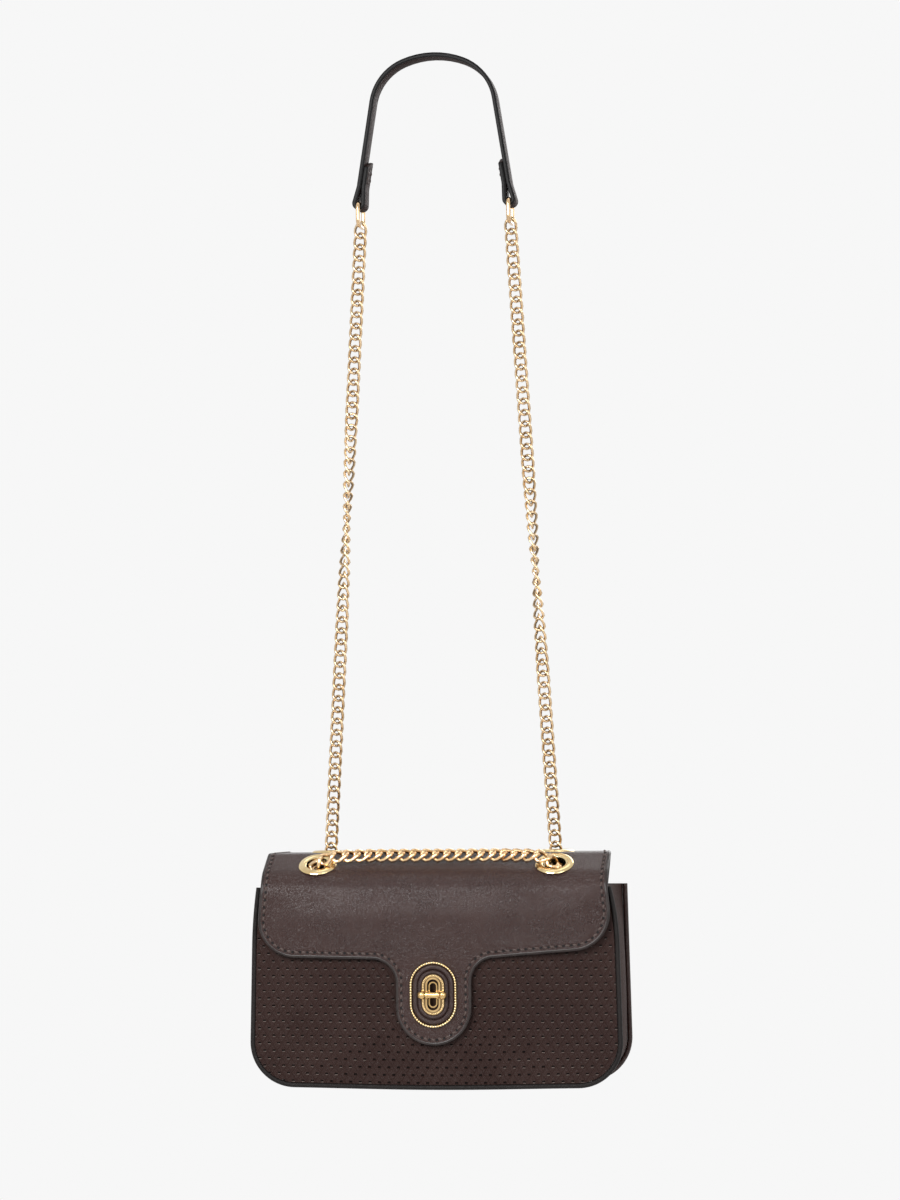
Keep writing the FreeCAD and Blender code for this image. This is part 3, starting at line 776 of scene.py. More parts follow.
def make_leather(name, colours, surface):
    """Dyed leather with grain, mottle and rubs; that of the panels has fine lines from pit to pit."""
    dark, light, rubbed = colours
    roughness, pebble, depth, specular = surface
    material, tree, shader = finish_start(name, roughness, specular=specular)
    grain = place_group(tree, leather_grain, Pebble_Scale=pebble, Pore_Scale=pebble * PORE_SHARE)
    wear = place_group(tree, handling)
    mottle = ramp(tree, grain.outputs["Mottle"], *MOTTLE_RANGE, 0.0, MOTTLE_SHARE)
    tone = math_node(tree, "MULTIPLY_ADD", grain.outputs["Speckle"], SPECKLE_SHARE, mottle)
    base = mix_colour(tree, tone, dark, light)
    worn = mix_colour(tree, math_node(tree, "MULTIPLY", wear.outputs["Rub"], RUB_SHARE), base, rubbed)
    crease = ramp(tree, grain.outputs["Crease"], 0.0, 1.0, CREASE_SHARE, 0.0)
    colour = mix_colour(tree, crease, worn, dark)
    shine = math_node(tree, "MULTIPLY_ADD", wear.outputs["Rub"], RUB_SHINE, roughness)
    shine = math_node(tree, "MULTIPLY_ADD", grain.outputs["Crease"], CREASE_SHINE, shine)
    height = grain.outputs["Height"]
    if name == "pitted_leather":
        net = net_lines(tree)
        height = math_node(tree, "MULTIPLY_ADD", net, NET_DEPTH, height)
        levels = [BOTTOM_Z + level for level in NET_FADE]
        rise = ramp(tree, object_axes(tree)["Z"], *levels, *NET_SHARE)
        line = math_node(tree, "MULTIPLY", ramp(tree, net, 0.0, 1.0, 1.0, 0.0), rise)
        colour = mix_colour(tree, line, colour, rubbed)
    feed_all(tree, shader, {"Base Color": colour, "Roughness": shine})
    bump(tree, shader, height, GRAIN_STRENGTH, depth)
    return material


def make_edge_paint(name, dark, light, specular):
    """Brushed edge paint, charcoal and a little glossy."""
    material, tree, shader = finish_start(name, roughness=0.26, specular=specular)
    place = object_place(tree)
    slow = noise(tree, place, scale=120.0, detail=4.0)
    colour = mix_colour(tree, ramp(tree, slow, 0.35, 0.7), dark, light)
    rough = ramp(tree, slow, 0.3, 0.75, 0.22, 0.36)
    feed_all(tree, shader, {"Base Color": colour, "Roughness": rough})
    brush = noise(tree, place, scale=700.0, detail=3.0)
    bump(tree, shader, brush, strength=0.2, distance=0.0002)
    return material


def make_thread():
    """Waxed thread with a twist."""
    material, tree, shader = finish_start("waxed_thread", roughness=0.5, specular=0.3)
    ply = slanted_bands(tree, scale=420.0, distortion=1.5)
    colour = mix_colour(tree, ply, (0.038, 0.024, 0.021), (0.085, 0.060, 0.052))
    wax = noise(tree, object_place(tree), scale=300.0, detail=2.0)
    rough = ramp(tree, wax, 0.3, 0.7, 0.42, 0.58)
    feed_all(tree, shader, {"Base Color": colour, "Roughness": rough})
    bump(tree, shader, ply, strength=0.4, distance=0.0002)
    return material


def link_inner_shade(tree, depth=LINK_INNER_SHADE):
    """Mask of painted shade on the inner side of the links' wire."""
    mark = add_node(tree, "Attribute", {}, attribute_name="hollow")
    return ramp(tree, mark.outputs["Fac"], 0.1, 1.0, 0.0, depth)


def run_inner_shade(tree):
    """The same mask of painted shade, fainter, for the run on the flap, which lies open to the light."""
    return link_inner_shade(tree, RUN_INNER_SHADE)


def boss_painted_shade(tree):
    """Mask of painted shade in the recess in and round the turn lock's boss."""
    axes = object_axes(tree)
    mask = ramp(tree, axes["Y"], *LOCK_SHADE_DEPTHS)
    for axis, middle, half in (("X", LOCK.x, BOSS_SHADE_SIZE[0]), ("Z", LOCK.z, BOSS_SHADE_SIZE[1])):
        away = math_node(tree, "ABSOLUTE", math_node(tree, "SUBTRACT", axes[axis], middle))
        mask = math_node(tree, "MULTIPLY", mask, math_node(tree, "LESS_THAN", away, half))
    return mask


def plate_groove_shade(tree):
    """Mask of painted shade on the slot plate's floor, between its raised edges."""
    levels = [LOCK_FACE_Y - depth for depth in PLATE_GROOVE]
    return ramp(tree, object_axes(tree)["Y"], *levels, 0.0, PLATE_GROOVE_SHADE)


def make_gold(name, deep, pale, roughness, shade=None):
    """Plated metal with a soft polish, stains and fine scratches; shade gives the mask of a recess
    darkened with painted shade.
    """
    material, tree, shader = finish_start(name, roughness, metallic=1.0)
    place = object_place(tree)
    wear = place_group(tree, handling, Rub_Scale=70.0, Scratch_Scale=900.0)
    slow = noise(tree, place, scale=60.0, detail=4.0)
    base = mix_colour(tree, ramp(tree, slow, 0.3, 0.7), deep, pale)
    stain = math_node(tree, "MULTIPLY", wear.outputs["Rub"], GOLD_STAIN)
    colour = mix_colour(tree, stain, base, deep)
    if shade:
        colour = mix_colour(tree, shade(tree), colour, GOLD_SHADE_TONE)
    polish = noise(tree, place, scale=240.0, detail=5.0)
    polish = ramp(tree, polish, 0.3, 0.75, *(roughness + change for change in GOLD_POLISH))
    rough = math_node(tree, "MULTIPLY_ADD", wear.outputs["Scratch"], GOLD_SCRATCH, polish)
    feed_all(tree, shader, {"Base Color": colour, "Roughness": rough})
    bump(tree, shader, wear.outputs["Scratch"], strength=0.05, distance=0.00005)
    return material


def make_lining_cloth():
    """Dark twill."""
    material, tree, shader = finish_start("lining_twill", roughness=0.8)
    twill = slanted_bands(tree, scale=520.0, distortion=0.6)
    slow = ramp(tree, noise(tree, object_place(tree), scale=30.0, detail=4.0), 0.3, 0.7)
    threads = mix_colour(tree, twill, (0.028, 0.019, 0.017), (0.055, 0.040, 0.035))
    faded = math_node(tree, "MULTIPLY", slow, 0.3)
    colour = mix_colour(tree, faded, threads, (0.075, 0.058, 0.052))
    rough = ramp(tree, slow, 0.0, 1.0, 0.74, 0.86)
    feed_all(tree, shader, {"Base Color": colour, "Roughness": rough})
    bump(tree, shader, twill, strength=0.5, distance=0.0003)
    return material


def make_grey_board():
    """Pressed board with fibres."""
    material, tree, shader = finish_start("pressed_board", roughness=0.85)
    fibre = noise(tree, object_place(tree), scale=420.0, detail=6.0, roughness=0.7)
    pulp = ramp(tree, fibre, 0.35, 0.7)
    colour = mix_colour(tree, pulp, (0.09, 0.075, 0.062), (0.16, 0.14, 0.12))
    tree.links.new(colour, shader.inputs["Base Color"])
    bump(tree, shader, fibre, strength=0.4, distance=0.0004)
    return material


# Dark, light and rubbed colour; roughness, pebble scale, relief and specular level
LEATHERS = {
    "chocolate_leather": (
        ((0.0160, 0.0040, 0.0026), (0.0280, 0.0096, 0.0070), (0.042, 0.0195, 0.0150)),
        (0.275, 1300.0, 0.0003, 0.32),
    ),
    "pitted_leather": (
        ((0.0176, 0.0076, 0.0061), (0.0232, 0.0107, 0.0086), (0.038, 0.021, 0.0175)),
        (0.40, 1300.0, 0.00028, 0.11),
    ),
    "piping_leather": (
        ((0.0065, 0.0052, 0.005), (0.010, 0.008, 0.0075), (0.018, 0.014, 0.013)),
        (0.42, 1700.0, 0.0002, 0.14),
    ),
    "strap_leather": (
        ((0.0165, 0.0066, 0.0053), (0.0225, 0.0094, 0.0077), (0.032, 0.017, 0.0145)),
        (0.5, 1500.0, 0.0002, 0.015),
    ),
    "side_leather": (
        ((0.0300, 0.0150, 0.0125), (0.0390, 0.0200, 0.0168), (0.055, 0.034, 0.029)),
        (0.55, 1500.0, 0.00022, 0.03),
    ),
    "lock_leather": (
        ((0.0220, 0.0100, 0.0082), (0.0290, 0.0138, 0.0115), (0.044, 0.026, 0.022)),
        (0.30, 1900.0, 0.0002, 0.3),
    ),
    # Near-black colour of the pit floors: painted shade in the pits
    "pit_floor_shade": (
        ((0.004, 0.003, 0.003), (0.007, 0.005, 0.0045), (0.010, 0.007, 0.006)),
        (0.6, 1900.0, 0.0002, 0.05),
    ),
    # Pale colour of the pits' lower lips: painted glints
    "pit_lip_glint": (
        ((0.150, 0.118, 0.104), (0.210, 0.170, 0.150), (0.26, 0.21, 0.19)),
        (0.28, 1900.0, 0.0002, 0.5),
    ),
    # Near-black cups at the needle holes: painted shade
    "needle_hole_shade": (
        ((0.005, 0.004, 0.004), (0.008, 0.006, 0.006), (0.010, 0.008, 0.008)),
        (0.7, 1900.0, 0.0002, 0.2),
    ),
}
# Deep and pale colour, roughness, and the mask of painted shade in a recess
GOLDS = {
    "chain_gold": ((0.60, 0.41, 0.22), (0.84, 0.64, 0.42), 0.16, link_inner_shade),
    # The run on the flap: the chain's gold made paler, as painted light on the run that lies in the light
    "run_gold_lit": ((0.68, 0.44, 0.22), (0.92, 0.68, 0.42), 0.16, run_inner_shade),
    "eyelet_gold": ((0.58, 0.42, 0.20), (0.82, 0.66, 0.38), 0.15),
    "ring_gold": ((0.56, 0.37, 0.20), (0.78, 0.56, 0.34), 0.16),
    "lock_gold": ((0.46, 0.29, 0.11), (0.68, 0.47, 0.22), 0.17),
    "boss_gold": ((0.46, 0.29, 0.11), (0.68, 0.47, 0.22), 0.17, boss_painted_shade),
    "plate_gold": ((0.52, 0.34, 0.15), (0.74, 0.52, 0.26), 0.17, plate_groove_shade),
}

leather_grain = make_leather_grain()
handling = make_handling()
leather = {name: make_leather(name, *values) for name, values in LEATHERS.items()}
edge_paint = make_edge_paint("edge_paint", (0.015, 0.0106, 0.0096), (0.026, 0.0186, 0.0168), 0.26)
strap_edge_paint = make_edge_paint(
    "strap_edge_paint", (0.0042, 0.004, 0.0042), (0.009, 0.0086, 0.0088), 0.06
)
thread = make_thread()
gold = {name: make_gold(name, *values) for name, values in GOLDS.items()}
lining_twill = make_lining_cloth()
pressed_board = make_grey_board()


# Stitching


def stitch_row(name, line, lift, out):
    """A closed row of slanted stitches with a needle hole between each two, a shallow dark cup as painted
    shade; out points off the leather.
    """
    bpy.ops.mesh.primitive_uv_sphere_add(
        segments=STITCH_SEGMENTS, ring_count=STITCH_RINGS, radius=0.5, rotation=(0, math.pi / 2, 0)
    )
    stitch = fresh(name + "_one")
    shape(
        stitch,
        lambda p: p * (STITCH_LENGTH, STITCH_WIDTH, STITCH_HEIGHT),
        lambda p: p - np.outer(np.abs(p[:, 0]) ** 2 * STITCH_DIP, (0, 0, 1)),
    )
    open_mesh(stitch)
    take_all()
    bpy.ops.transform.rotate(value=STITCH_SLANT, orient_axis="Z", center_override=(0, 0, 0))
    close_mesh()
    stitch.data.materials.append(thread)
    bpy.ops.mesh.primitive_cylinder_add(
        vertices=HOLE_SIDES,
        radius=HOLE_RADIUS,
        depth=HOLE_RADIUS,
        location=(STITCH_PITCH / 2, 0, HOLE_LIFT - lift - HOLE_RADIUS / 2),
    )
    hole = fresh(name + "_hole")
    pick_faces(hole, lambda face: face.normal.z > FLAT_FACING)
    bpy.ops.mesh.inset(thickness=HOLE_RADIUS * HOLE_RIM, depth=-HOLE_DISH)
    close_mesh()
    hole.data.materials.append(leather["needle_hole_shade"])
    stitch = join([stitch, hole], name + "_one")
    places = []
    for point, direction in along(line, STITCH_PITCH):
        turn = Matrix((direction, out.cross(direction), out)).transposed().to_4x4()
        places.append(Matrix.Translation(point + out * lift) @ turn)
    row = copy_to(stitch, places, name)
    smooth(row, ROUND_SMOOTH)
    return row


# Shoulder strap


def strap_line():
    """Middle line of the strap, from one tab's end over the crown to the other's."""
    middle = STRAP_THICKNESS / 2
    crown = Vector((0, 0, middle - CROWN_RADIUS))

    def on_circle(angle):
        return Vector((math.sin(angle), 0, math.cos(angle)))

    shoulder = crown + CROWN_RADIUS / math.cos(CROWN_ANGLE / 2) * on_circle(CROWN_ANGLE / 2)
    inner = crown + (CROWN_RADIUS - SIDE_RADIUS) * on_circle(CROWN_ANGLE)
    half_turn = (math.pi / 2 - LEG_LEAN - CROWN_ANGLE) / 2
    elbow = inner + SIDE_RADIUS / math.cos(half_turn) * on_circle(CROWN_ANGLE + half_turn)
    ring_low, ring_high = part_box("right_end_ring")
    eye = Vector(((ring_low.x + ring_high.x) / 2, 0, ring_high.z - RING_WIRE_RADIUS))
    down = Vector((math.sin(LEG_LEAN), 0, -math.cos(LEG_LEAN)))
    inward = Vector((-math.cos(LEG_LEAN), 0, -math.sin(LEG_LEAN)))
    half = [
        (shoulder, CROWN_RADIUS),
        (elbow, SIDE_RADIUS),
        (eye - down * FOLD_LENGTH - inward * middle, NECK_RADIUS),
        (eye + down * FOLD_RADIUS - inward * FOLD_SPREAD, FOLD_RADIUS),
        (eye + down * FOLD_RADIUS + inward * FOLD_SPREAD, FOLD_RADIUS),
        (eye - down * FOLD_LENGTH + inward * (middle + TAB_GAP), NECK_RADIUS),
        (eye - down * TAB_LENGTH + inward * (middle + TAB_GAP), 0),
    ]
    return route(*zip(*mirrored(half), *half)), eye, down, inward


def make_strap():
    """Strap in one piece with its folds and tabs, painted edges and stitched tabs."""
    line, eye, down, inward = strap_line()
    strap = strip("shoulder_strap_leather", line, STRAP_WIDTH, STRAP_THICKNESS, STRAP_STEPS)
    end = eye - down * TAB_LENGTH

    def clip_tabs(points):
        clipped = points.copy()
        for side in (-1, 1):
            tip = np.array((side * end.x, 0, end.z))
            near = np.linalg.norm((points - tip) * (1, 0, 1), axis=1) < TAB_CLIP_REACH
            slide = np.array((side * down.x, 0, down.z)) * TAB_CLIP
            clipped[near & (points[:, 1] < 0)] += slide
        return clipped

    shape(strap, clip_tabs)
    ease_edges(strap, STRAP_BEVEL, STRAP_BEVEL_ANGLE)
    smooth(strap, LEATHER_SMOOTH)
    dress(strap, leather["strap_leather"])
    strap.data.materials.append(strap_edge_paint)
    for face in strap.data.polygons:
        face.material_index = 1 if abs(face.normal.y) > STRAP_EDGE_FACING else 0
    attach(strap, "strap")
    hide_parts("shoulder_strap")
    for side, label in ((-1, "left"), (1, "right")):
        flip = Vector((side, 1, 1))
        foot = (eye - down * (FOLD_LENGTH + TAB_STITCH_END) + inward * STRAP_THICKNESS) * flip
        head = (eye - down * (TAB_LENGTH - TAB_STITCH_END) + inward * STRAP_THICKNESS) * flip
        half = Vector((0, STRAP_WIDTH / 2 - TAB_STITCH_SIDE, 0))
        corners = [foot - half, head - half + down * flip * TAB_CLIP, head + half, foot + half]
        line = route(corners, [TAB_STITCH_CORNER] * 4, True)
        row = stitch_row(label + "_tab_stitches", line, TAB_STITCH_LIFT, inward * flip)
        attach(row, "strap")


# Chain


def make_link(wire):
    """One curb link: a ring pulled to an oval and twisted, with its inner side marked for painted shade.
    """
    bpy.ops.mesh.primitive_torus_add(
        major_segments=LINK_SEGMENTS,
        minor_segments=LINK_WIRE_SIDES,
        major_radius=LINK_HALF_LENGTH,
        minor_radius=wire,
    )
    link = fresh("curb_link")

    def twist(points):
        turn = np.arctan2(points[:, 1], points[:, 0])
        out = np.hypot(points[:, 0], points[:, 1]) - LINK_HALF_LENGTH
        facing = np.stack([LINK_HALF_WIDTH * np.cos(turn), LINK_HALF_LENGTH * np.sin(turn)], 1)
        facing /= np.linalg.norm(facing, axis=1)[:, None]
        ahead = LINK_HALF_LENGTH * np.cos(turn) + facing[:, 0] * out
        across = LINK_HALF_WIDTH * np.sin(turn) + facing[:, 1] * out
        return np.stack([ahead, across, LINK_HALF_TWIST * np.sin(2 * turn) + points[:, 2]], 1)

    points = np.array([vertex.co for vertex in link.data.vertices])
    inward = np.clip((LINK_HALF_LENGTH - np.hypot(points[:, 0], points[:, 1])) / wire, 0, 1)
    link.data.attributes.new("hollow", "FLOAT", "POINT").data.foreach_set("value", inward)
    shape(link, twist)
    return link


def link_places(node, ahead, slant, roll, lift):
    """Where each link of a chain lies, from its CAD link: slanted in its own plane, rolled and moved."""
    mesh = nodes[node].data
    points = np.array([vertex.co for vertex in mesh.vertices])
    mesh.calc_loop_triangles()
    triangles = np.array([triangle.vertices for triangle in mesh.loop_triangles])
    turn = Matrix.Rotation(roll, 4, "X") @ Matrix.Rotation(slant, 4, "Z")
    places = []
    for first in range(0, len(triangles), LINK_TRIANGLES):
        cloud = points[triangles[first : first + LINK_TRIANGLES]].reshape(-1, 3)
        middle = cloud.mean(0)
        axes = np.linalg.eigh(np.cov((cloud - middle).T))[1]
        length, width = axes[:, 2], axes[:, 1]
        length = length if length @ ahead > 0 else -length
        normal = np.cross(length, width)
        if normal[1] > 0:
            width, normal = -width, -normal
        matrix = Matrix(np.stack([length, width, normal, middle], 1).tolist()).to_4x4()
        places.append(matrix @ Matrix.Translation(lift) @ turn)
    return places


def make_chain(node, name, ahead, wire=LINK_WIRE_RADIUS, slant=0.0, roll=0.0, lift=Vector()):
    """A run of curb links in the place of its CAD links."""
    chain = copy_to(make_link(wire), link_places(node, ahead, slant, roll, lift), name)
    only(chain)
    bpy.ops.object.shade_smooth()
    dress(chain, gold["run_gold_lit" if name == "flap_run" else "chain_gold"])
    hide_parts(node)
    return chain


def make_end_rings():
    """Stout wire rings in the strap's folds, round at their corners."""
    for side in ("left", "right"):
        node = side + "_end_ring"
        low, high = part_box(node)
        x = (low.x + high.x) / 2
        low = low + Vector((1, 1, 1)) * RING_WIRE_RADIUS
        high = high - Vector((1, 1, 1)) * RING_WIRE_RADIUS
        corners = four_corners(high.y, low.y, low.z, high.z, lambda y, z: Vector((x, y, z)))
        line = route(corners, [RING_CORNER] * 4, True)
        ring = tube(side + "_ring_gold", line, RING_STOUT_RADIUS, RING_SIDES, RING_STEPS)
        smooth(ring, ROUND_SMOOTH)
        dress(ring, gold["ring_gold"])
        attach(ring, "strap")
        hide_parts(node)


def make_chains():
    """Both hanging strands, the run on the flap and the two runs inside the bag."""
    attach(make_chain("left_chain", "left_strand", UP), "bag")
    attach(make_chain("right_chain", "right_strand", UP), "bag")
    right = Vector((1, 0, 0))
    run = make_chain("top_chain", "flap_run", right, RUN_WIRE_RADIUS, RUN_SLANT, RUN_ROLL, RUN_LIFT)
    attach(run, "flap")
    for side in ("left", "right"):
        node = side + "_inner_chain"
        chain = make_chain(node, side + "_inner_run", Vector((0, 1, 0)))
        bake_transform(chain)


# Body


def body_line(outset, y):
    """Corners and radii of the body's sides and bottom, from the mouth round to the mouth."""
    corners = [
        Vector((-BODY_TOP_HALF - outset, y, MOUTH_Z)),
        Vector((-BODY_LOW_HALF - outset, y, BOTTOM_Z - outset)),
        Vector((BODY_LOW_HALF + outset, y, BOTTOM_Z - outset)),
        Vector((BODY_TOP_HALF + outset, y, MOUTH_Z)),
    ]
    return corners, [0, BODY_CORNER + outset, BODY_CORNER + outset, 0]


def depth_share(points):
    """How far each point is below the mouth, from 0 to 1 at the bottom."""
    return np.clip((MOUTH_Z - points[:, 2]) / (MOUTH_Z - BOTTOM_Z), 0, 1)


def sag(points):
    """The bottom hangs a little lower in the middle than at its corners."""
    points = points.copy()
    across = np.cos(points[:, 0] / BODY_LOW_HALF * math.pi / 2) ** 2
    points[:, 2] -= BOTTOM_SAG * depth_share(points) ** 2 * across
    return points


def fullness(points):
    """The panels swell between their seams with a slow ripple, and stay flat round the lock."""
    x, z = points[:, 0], points[:, 2]
    across = np.clip(1 - (x / BODY_LOW_HALF) ** 4, 0, 1)
    up = np.clip(np.sin(math.pi * depth_share(points)), 0, 1)
    wide, tall = PANEL_CALM_AT_LOCK
    lock = 1 - np.exp(-(((x - LOCK.x) / wide) ** 2 + ((z - LOCK.z) / tall) ** 2))
    ripple = 1 + PANEL_RIPPLE * np.sin(x * RIPPLE_ACROSS + RIPPLE_SHIFT) * np.cos(z * RIPPLE_UP)
    return across * up * lock * ripple


def pleat(points):
    """The sides are drawn in along their middle at the mouth and swell outwards below it."""
    points = points.copy()
    side = np.clip((np.abs(points[:, 0]) - SIDE_START) / SIDE_BLEND, 0, 1)
    deep = np.clip(1 - (points[:, 1] / PANEL_IN_Y) ** 2, 0, 1)
    share = depth_share(points)
    near = np.clip(1 - share / MOUTH_PLEAT_SHARE, 0, 1)
    drawn = MOUTH_PLEAT * near**PLEAT_ROUND * deep**PLEAT_ROUND
    full = SIDE_SWELL * np.sin(math.pi * share) * deep
    points[:, 0] += np.sign(points[:, 0]) * side * (full - drawn)
    return points


def draw_in(points):
    """The front panel's corners are drawn in towards the mouth, the right one more."""
    points = points.copy()
    front = np.clip(-points[:, 1] / PANEL_IN_Y, 0, 1)
    side = np.clip((np.abs(points[:, 0]) - MOUTH_PULL_START) / MOUTH_PULL_BLEND, 0, 1)
    near = np.clip(1 - depth_share(points) / MOUTH_PULL_SHARE, 0, 1) ** 2
    pull_in = np.where(points[:, 0] > 0, MOUTH_PULL, -MOUTH_PULL * LEFT_PULL_SHARE)
    points[:, 0] -= pull_in * near * side * front
    return points


def make_panel(name, side, node, piping):
    """A panel of leather with rows of pits, cut to the body's outline, and its piping."""
    middle = (MOUTH_Z + BOTTOM_Z) / 2
    bpy.ops.mesh.primitive_grid_add(x_subdivisions=PIT_COLUMNS, y_subdivisions=PIT_ROWS, size=1)
    bpy.context.object.scale = (PIT_COLUMNS, PIT_ROWS * PIT_TALL, 1)
    panel = fresh(name)
    for finish in ("pitted_leather", "pit_floor_shade", "pit_lip_glint"):
        panel.data.materials.append(leather[finish])

    def is_pit(face):
        column = round(face.center.x + (PIT_COLUMNS - 1) / 2)
        row = round(face.center.y / PIT_TALL + (PIT_ROWS - 1) / 2)
        offset = PIT_COLUMN_STEP // 2 * (row // PIT_ROW_STEP % 2)
        return row % PIT_ROW_STEP == 0 and column % PIT_COLUMN_STEP == offset

    def space_columns(points):
        place = np.round(points[:, 0] + PIT_COLUMNS / 2)
        odd = place % 2
        pair = PIT_WIDE + PIT_SPACE
        across = (place - odd) / 2 * pair + odd * PIT_WIDE - PIT_COLUMNS / 4 * pair
        return np.stack([across, points[:, 1], points[:, 2]], 1)

    # Lower walls lit with painted glints, outside the unlit oval at the lower middle
    def is_lit_lip(face):
        wall = -PIT_DEPTH < face.center.z < 0 and face.normal.y > LIP_FACING
        low = (face.center.y + middle - BOTTOM_Z) / UNLIT_LIP_OVAL[1]
        wave = math.sin(face.center.x * UNLIT_LIP_WAVES[0] + face.center.y * UNLIT_LIP_WAVES[1])
        return wall and math.hypot(face.center.x / UNLIT_LIP_OVAL[0], low) > 1 + UNLIT_LIP_UNEVEN * wave

    def stand(points):
        across = points[:, 0] * -side
        return np.stack([across, side * (PANEL_OUT_Y + points[:, 2]), points[:, 1] + middle], 1)

    def swell(points):
        return points + np.outer(fullness(points), (0, side * PANEL_FULLNESS, 0))

    modify(panel, "SOLIDIFY", thickness=PANEL_THICKNESS, offset=-1.0)
    pick_faces(panel, lambda face: face.normal.z > FLAT_FACING and is_pit(face))
    close_mesh()
    shape(panel, space_columns)
    bpy.ops.object.mode_set(mode="EDIT")
    bpy.ops.mesh.inset(thickness=PIT_RIM, use_individual=True)
    bpy.ops.mesh.inset(thickness=PIT_WALL, depth=-PIT_DEPTH, use_individual=True)
    bpy.ops.transform.translate(value=(0, PIT_LIP, 0))
    close_mesh()
    # Pit floors take painted shade, and the lit lower walls painted glints
    for face in panel.data.polygons:
        face.material_index = 1 if face.select else 2 if is_lit_lip(face) else 0
    corners, radii = body_line(0, 0)
    flat = [Vector((p.x, p.z - middle, -PANEL_CUT_DEPTH / 2)) for p in corners]
    cut(panel, cutter(name + "_outline", route(flat, radii, True), PANEL_CUT_DEPTH), "INTERSECT")
    shape(panel, stand, swell, sag, draw_in)
    smooth(panel, PANEL_SMOOTH)
    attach(panel, "bag")
    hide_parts(node)
    line = route(*body_line(PIPING_RADIUS + PIPING_GAP, side * (PANEL_IN_Y + PANEL_THICKNESS / 2)))
    cord = tube(name + "_piping", line, PIPING_RADIUS, PIPING_SIDES, PIPING_STEPS)
    shape(cord, sag, draw_in)
    smooth(cord, ROUND_SMOOTH)
    dress(cord, leather["piping_leather" if side < 0 else "chocolate_leather"])
    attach(cord, "bag")
    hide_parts(piping)


def make_gusset():
    """One strip for both sides and the bottom, with a section of two long rows of corners."""
    start, moves = route(*body_line(-GUSSET_THICKNESS / 2, 0))
    bpy.ops.mesh.primitive_circle_add(vertices=GUSSET_SECTION, radius=1.0)
    gusset = fresh("gusset_leather")

    def flatten(points):
        turn = np.arctan2(points[:, 1], points[:, 0]) / math.pi
        across = PANEL_IN_Y * (1 - 2 * np.abs(turn))
        wall = np.where(turn >= 0, GUSSET_THICKNESS, -GUSSET_THICKNESS) / 2
        wall[np.abs(across) > PANEL_IN_Y * GUSSET_EDGE_SHARE] = 0
        return np.stack([start.x + wall, across, np.full(len(points), start.z)], 1)

    shape(gusset, flatten)
    carry(gusset, moves, GUSSET_STEPS)
    shape(gusset, pleat, sag, draw_in)
    smooth(gusset, LEATHER_SMOOTH)
    dress(gusset, leather["side_leather"])
    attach(gusset, "bag")
    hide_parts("gusset")


def make_lining():
    """Sewn lining, open at the mouth, and its slip pocket."""
    half = PANEL_IN_Y - LINING_GAP - LINING_THICKNESS / 2
    row = Vector((0, 2 * half / LINING_ROWS, 0))
    corners, radii = body_line(-LINING_INSET - LINING_THICKNESS / 2, -half)
    lining = board("bag_lining", route(corners, radii, True), row)
    for _ in range(LINING_ROWS - 1):
        pick_faces(lining, lambda face: face.normal.y > SQUARE_FACING)
        pull(row)
        close_mesh()
    pick_faces(
        lining, lambda face: face.normal.z > SQUARE_FACING and face.center.z > MOUTH_Z - LINING_THICKNESS
    )
    bpy.ops.mesh.delete(type="FACE")
    close_mesh()
    modify(lining, "SOLIDIFY", thickness=LINING_THICKNESS, offset=0.0)
    shape(lining, pleat, sag, draw_in)
    smooth(lining, LEATHER_SMOOTH)
    dress(lining, lining_twill)
    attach(lining, "bag")
    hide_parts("lining")
    low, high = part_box("slip_pocket")
    corners = four_corners(low.x, high.x, low.z, high.z, lambda x, z: Vector((x, low.y, z)))
    line = route(corners, POCKET_CORNERS, True)
    pocket = board("slip_pocket_cloth", line, Vector((0, high.y - low.y, 0)))
    ease_edges(pocket, POCKET_BEVEL, POCKET_BEVEL_ANGLE)
    smooth(pocket, LEATHER_SMOOTH)
    dress(pocket, lining_twill)
    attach(pocket, "bag")
    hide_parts("slip_pocket")


# Flap

FOLD_Y = FLAP_OUT_Y + SLOPE_RISE / math.tan(SLOPE)
FOLD_REACH = FOLD_BEND_RADIUS * math.tan(SLOPE / 2)
FRONT_TURN = math.pi / 2 - SLOPE
FRONT_REACH = FRONT_BEND_RADIUS * math.tan(FRONT_TURN / 2)
# Length and turn of each part of the leather's outer face, from the back seam, and how many parts
# lie before the flat top, the slope and the front
PROFILE = [
    (TOP_Z - TOP_BACK_RADIUS - SEAM_Z, 0),
    (TOP_BACK_RADIUS * math.pi / 2, math.pi / 2),
    (BACK_OUT_Y - TOP_BACK_RADIUS - FOLD_Y - FOLD_REACH, 0),
    (FOLD_BEND_RADIUS * SLOPE, SLOPE),
    (SLOPE_RISE / math.sin(SLOPE) - FOLD_REACH - FRONT_REACH, 0),
    (FRONT_BEND_RADIUS * FRONT_TURN, FRONT_TURN),
    (TOP_Z - SLOPE_RISE - FRONT_REACH - TONGUE_Z + FRONT_SPARE, 0),
]
BEFORE_TOP, BEFORE_SLOPE, BEFORE_FRONT = 2, 4, 6


def profile_length(parts):
    """Length of the leather over the first parts of the profile."""
    return sum(length for length, turn in PROFILE[:parts])


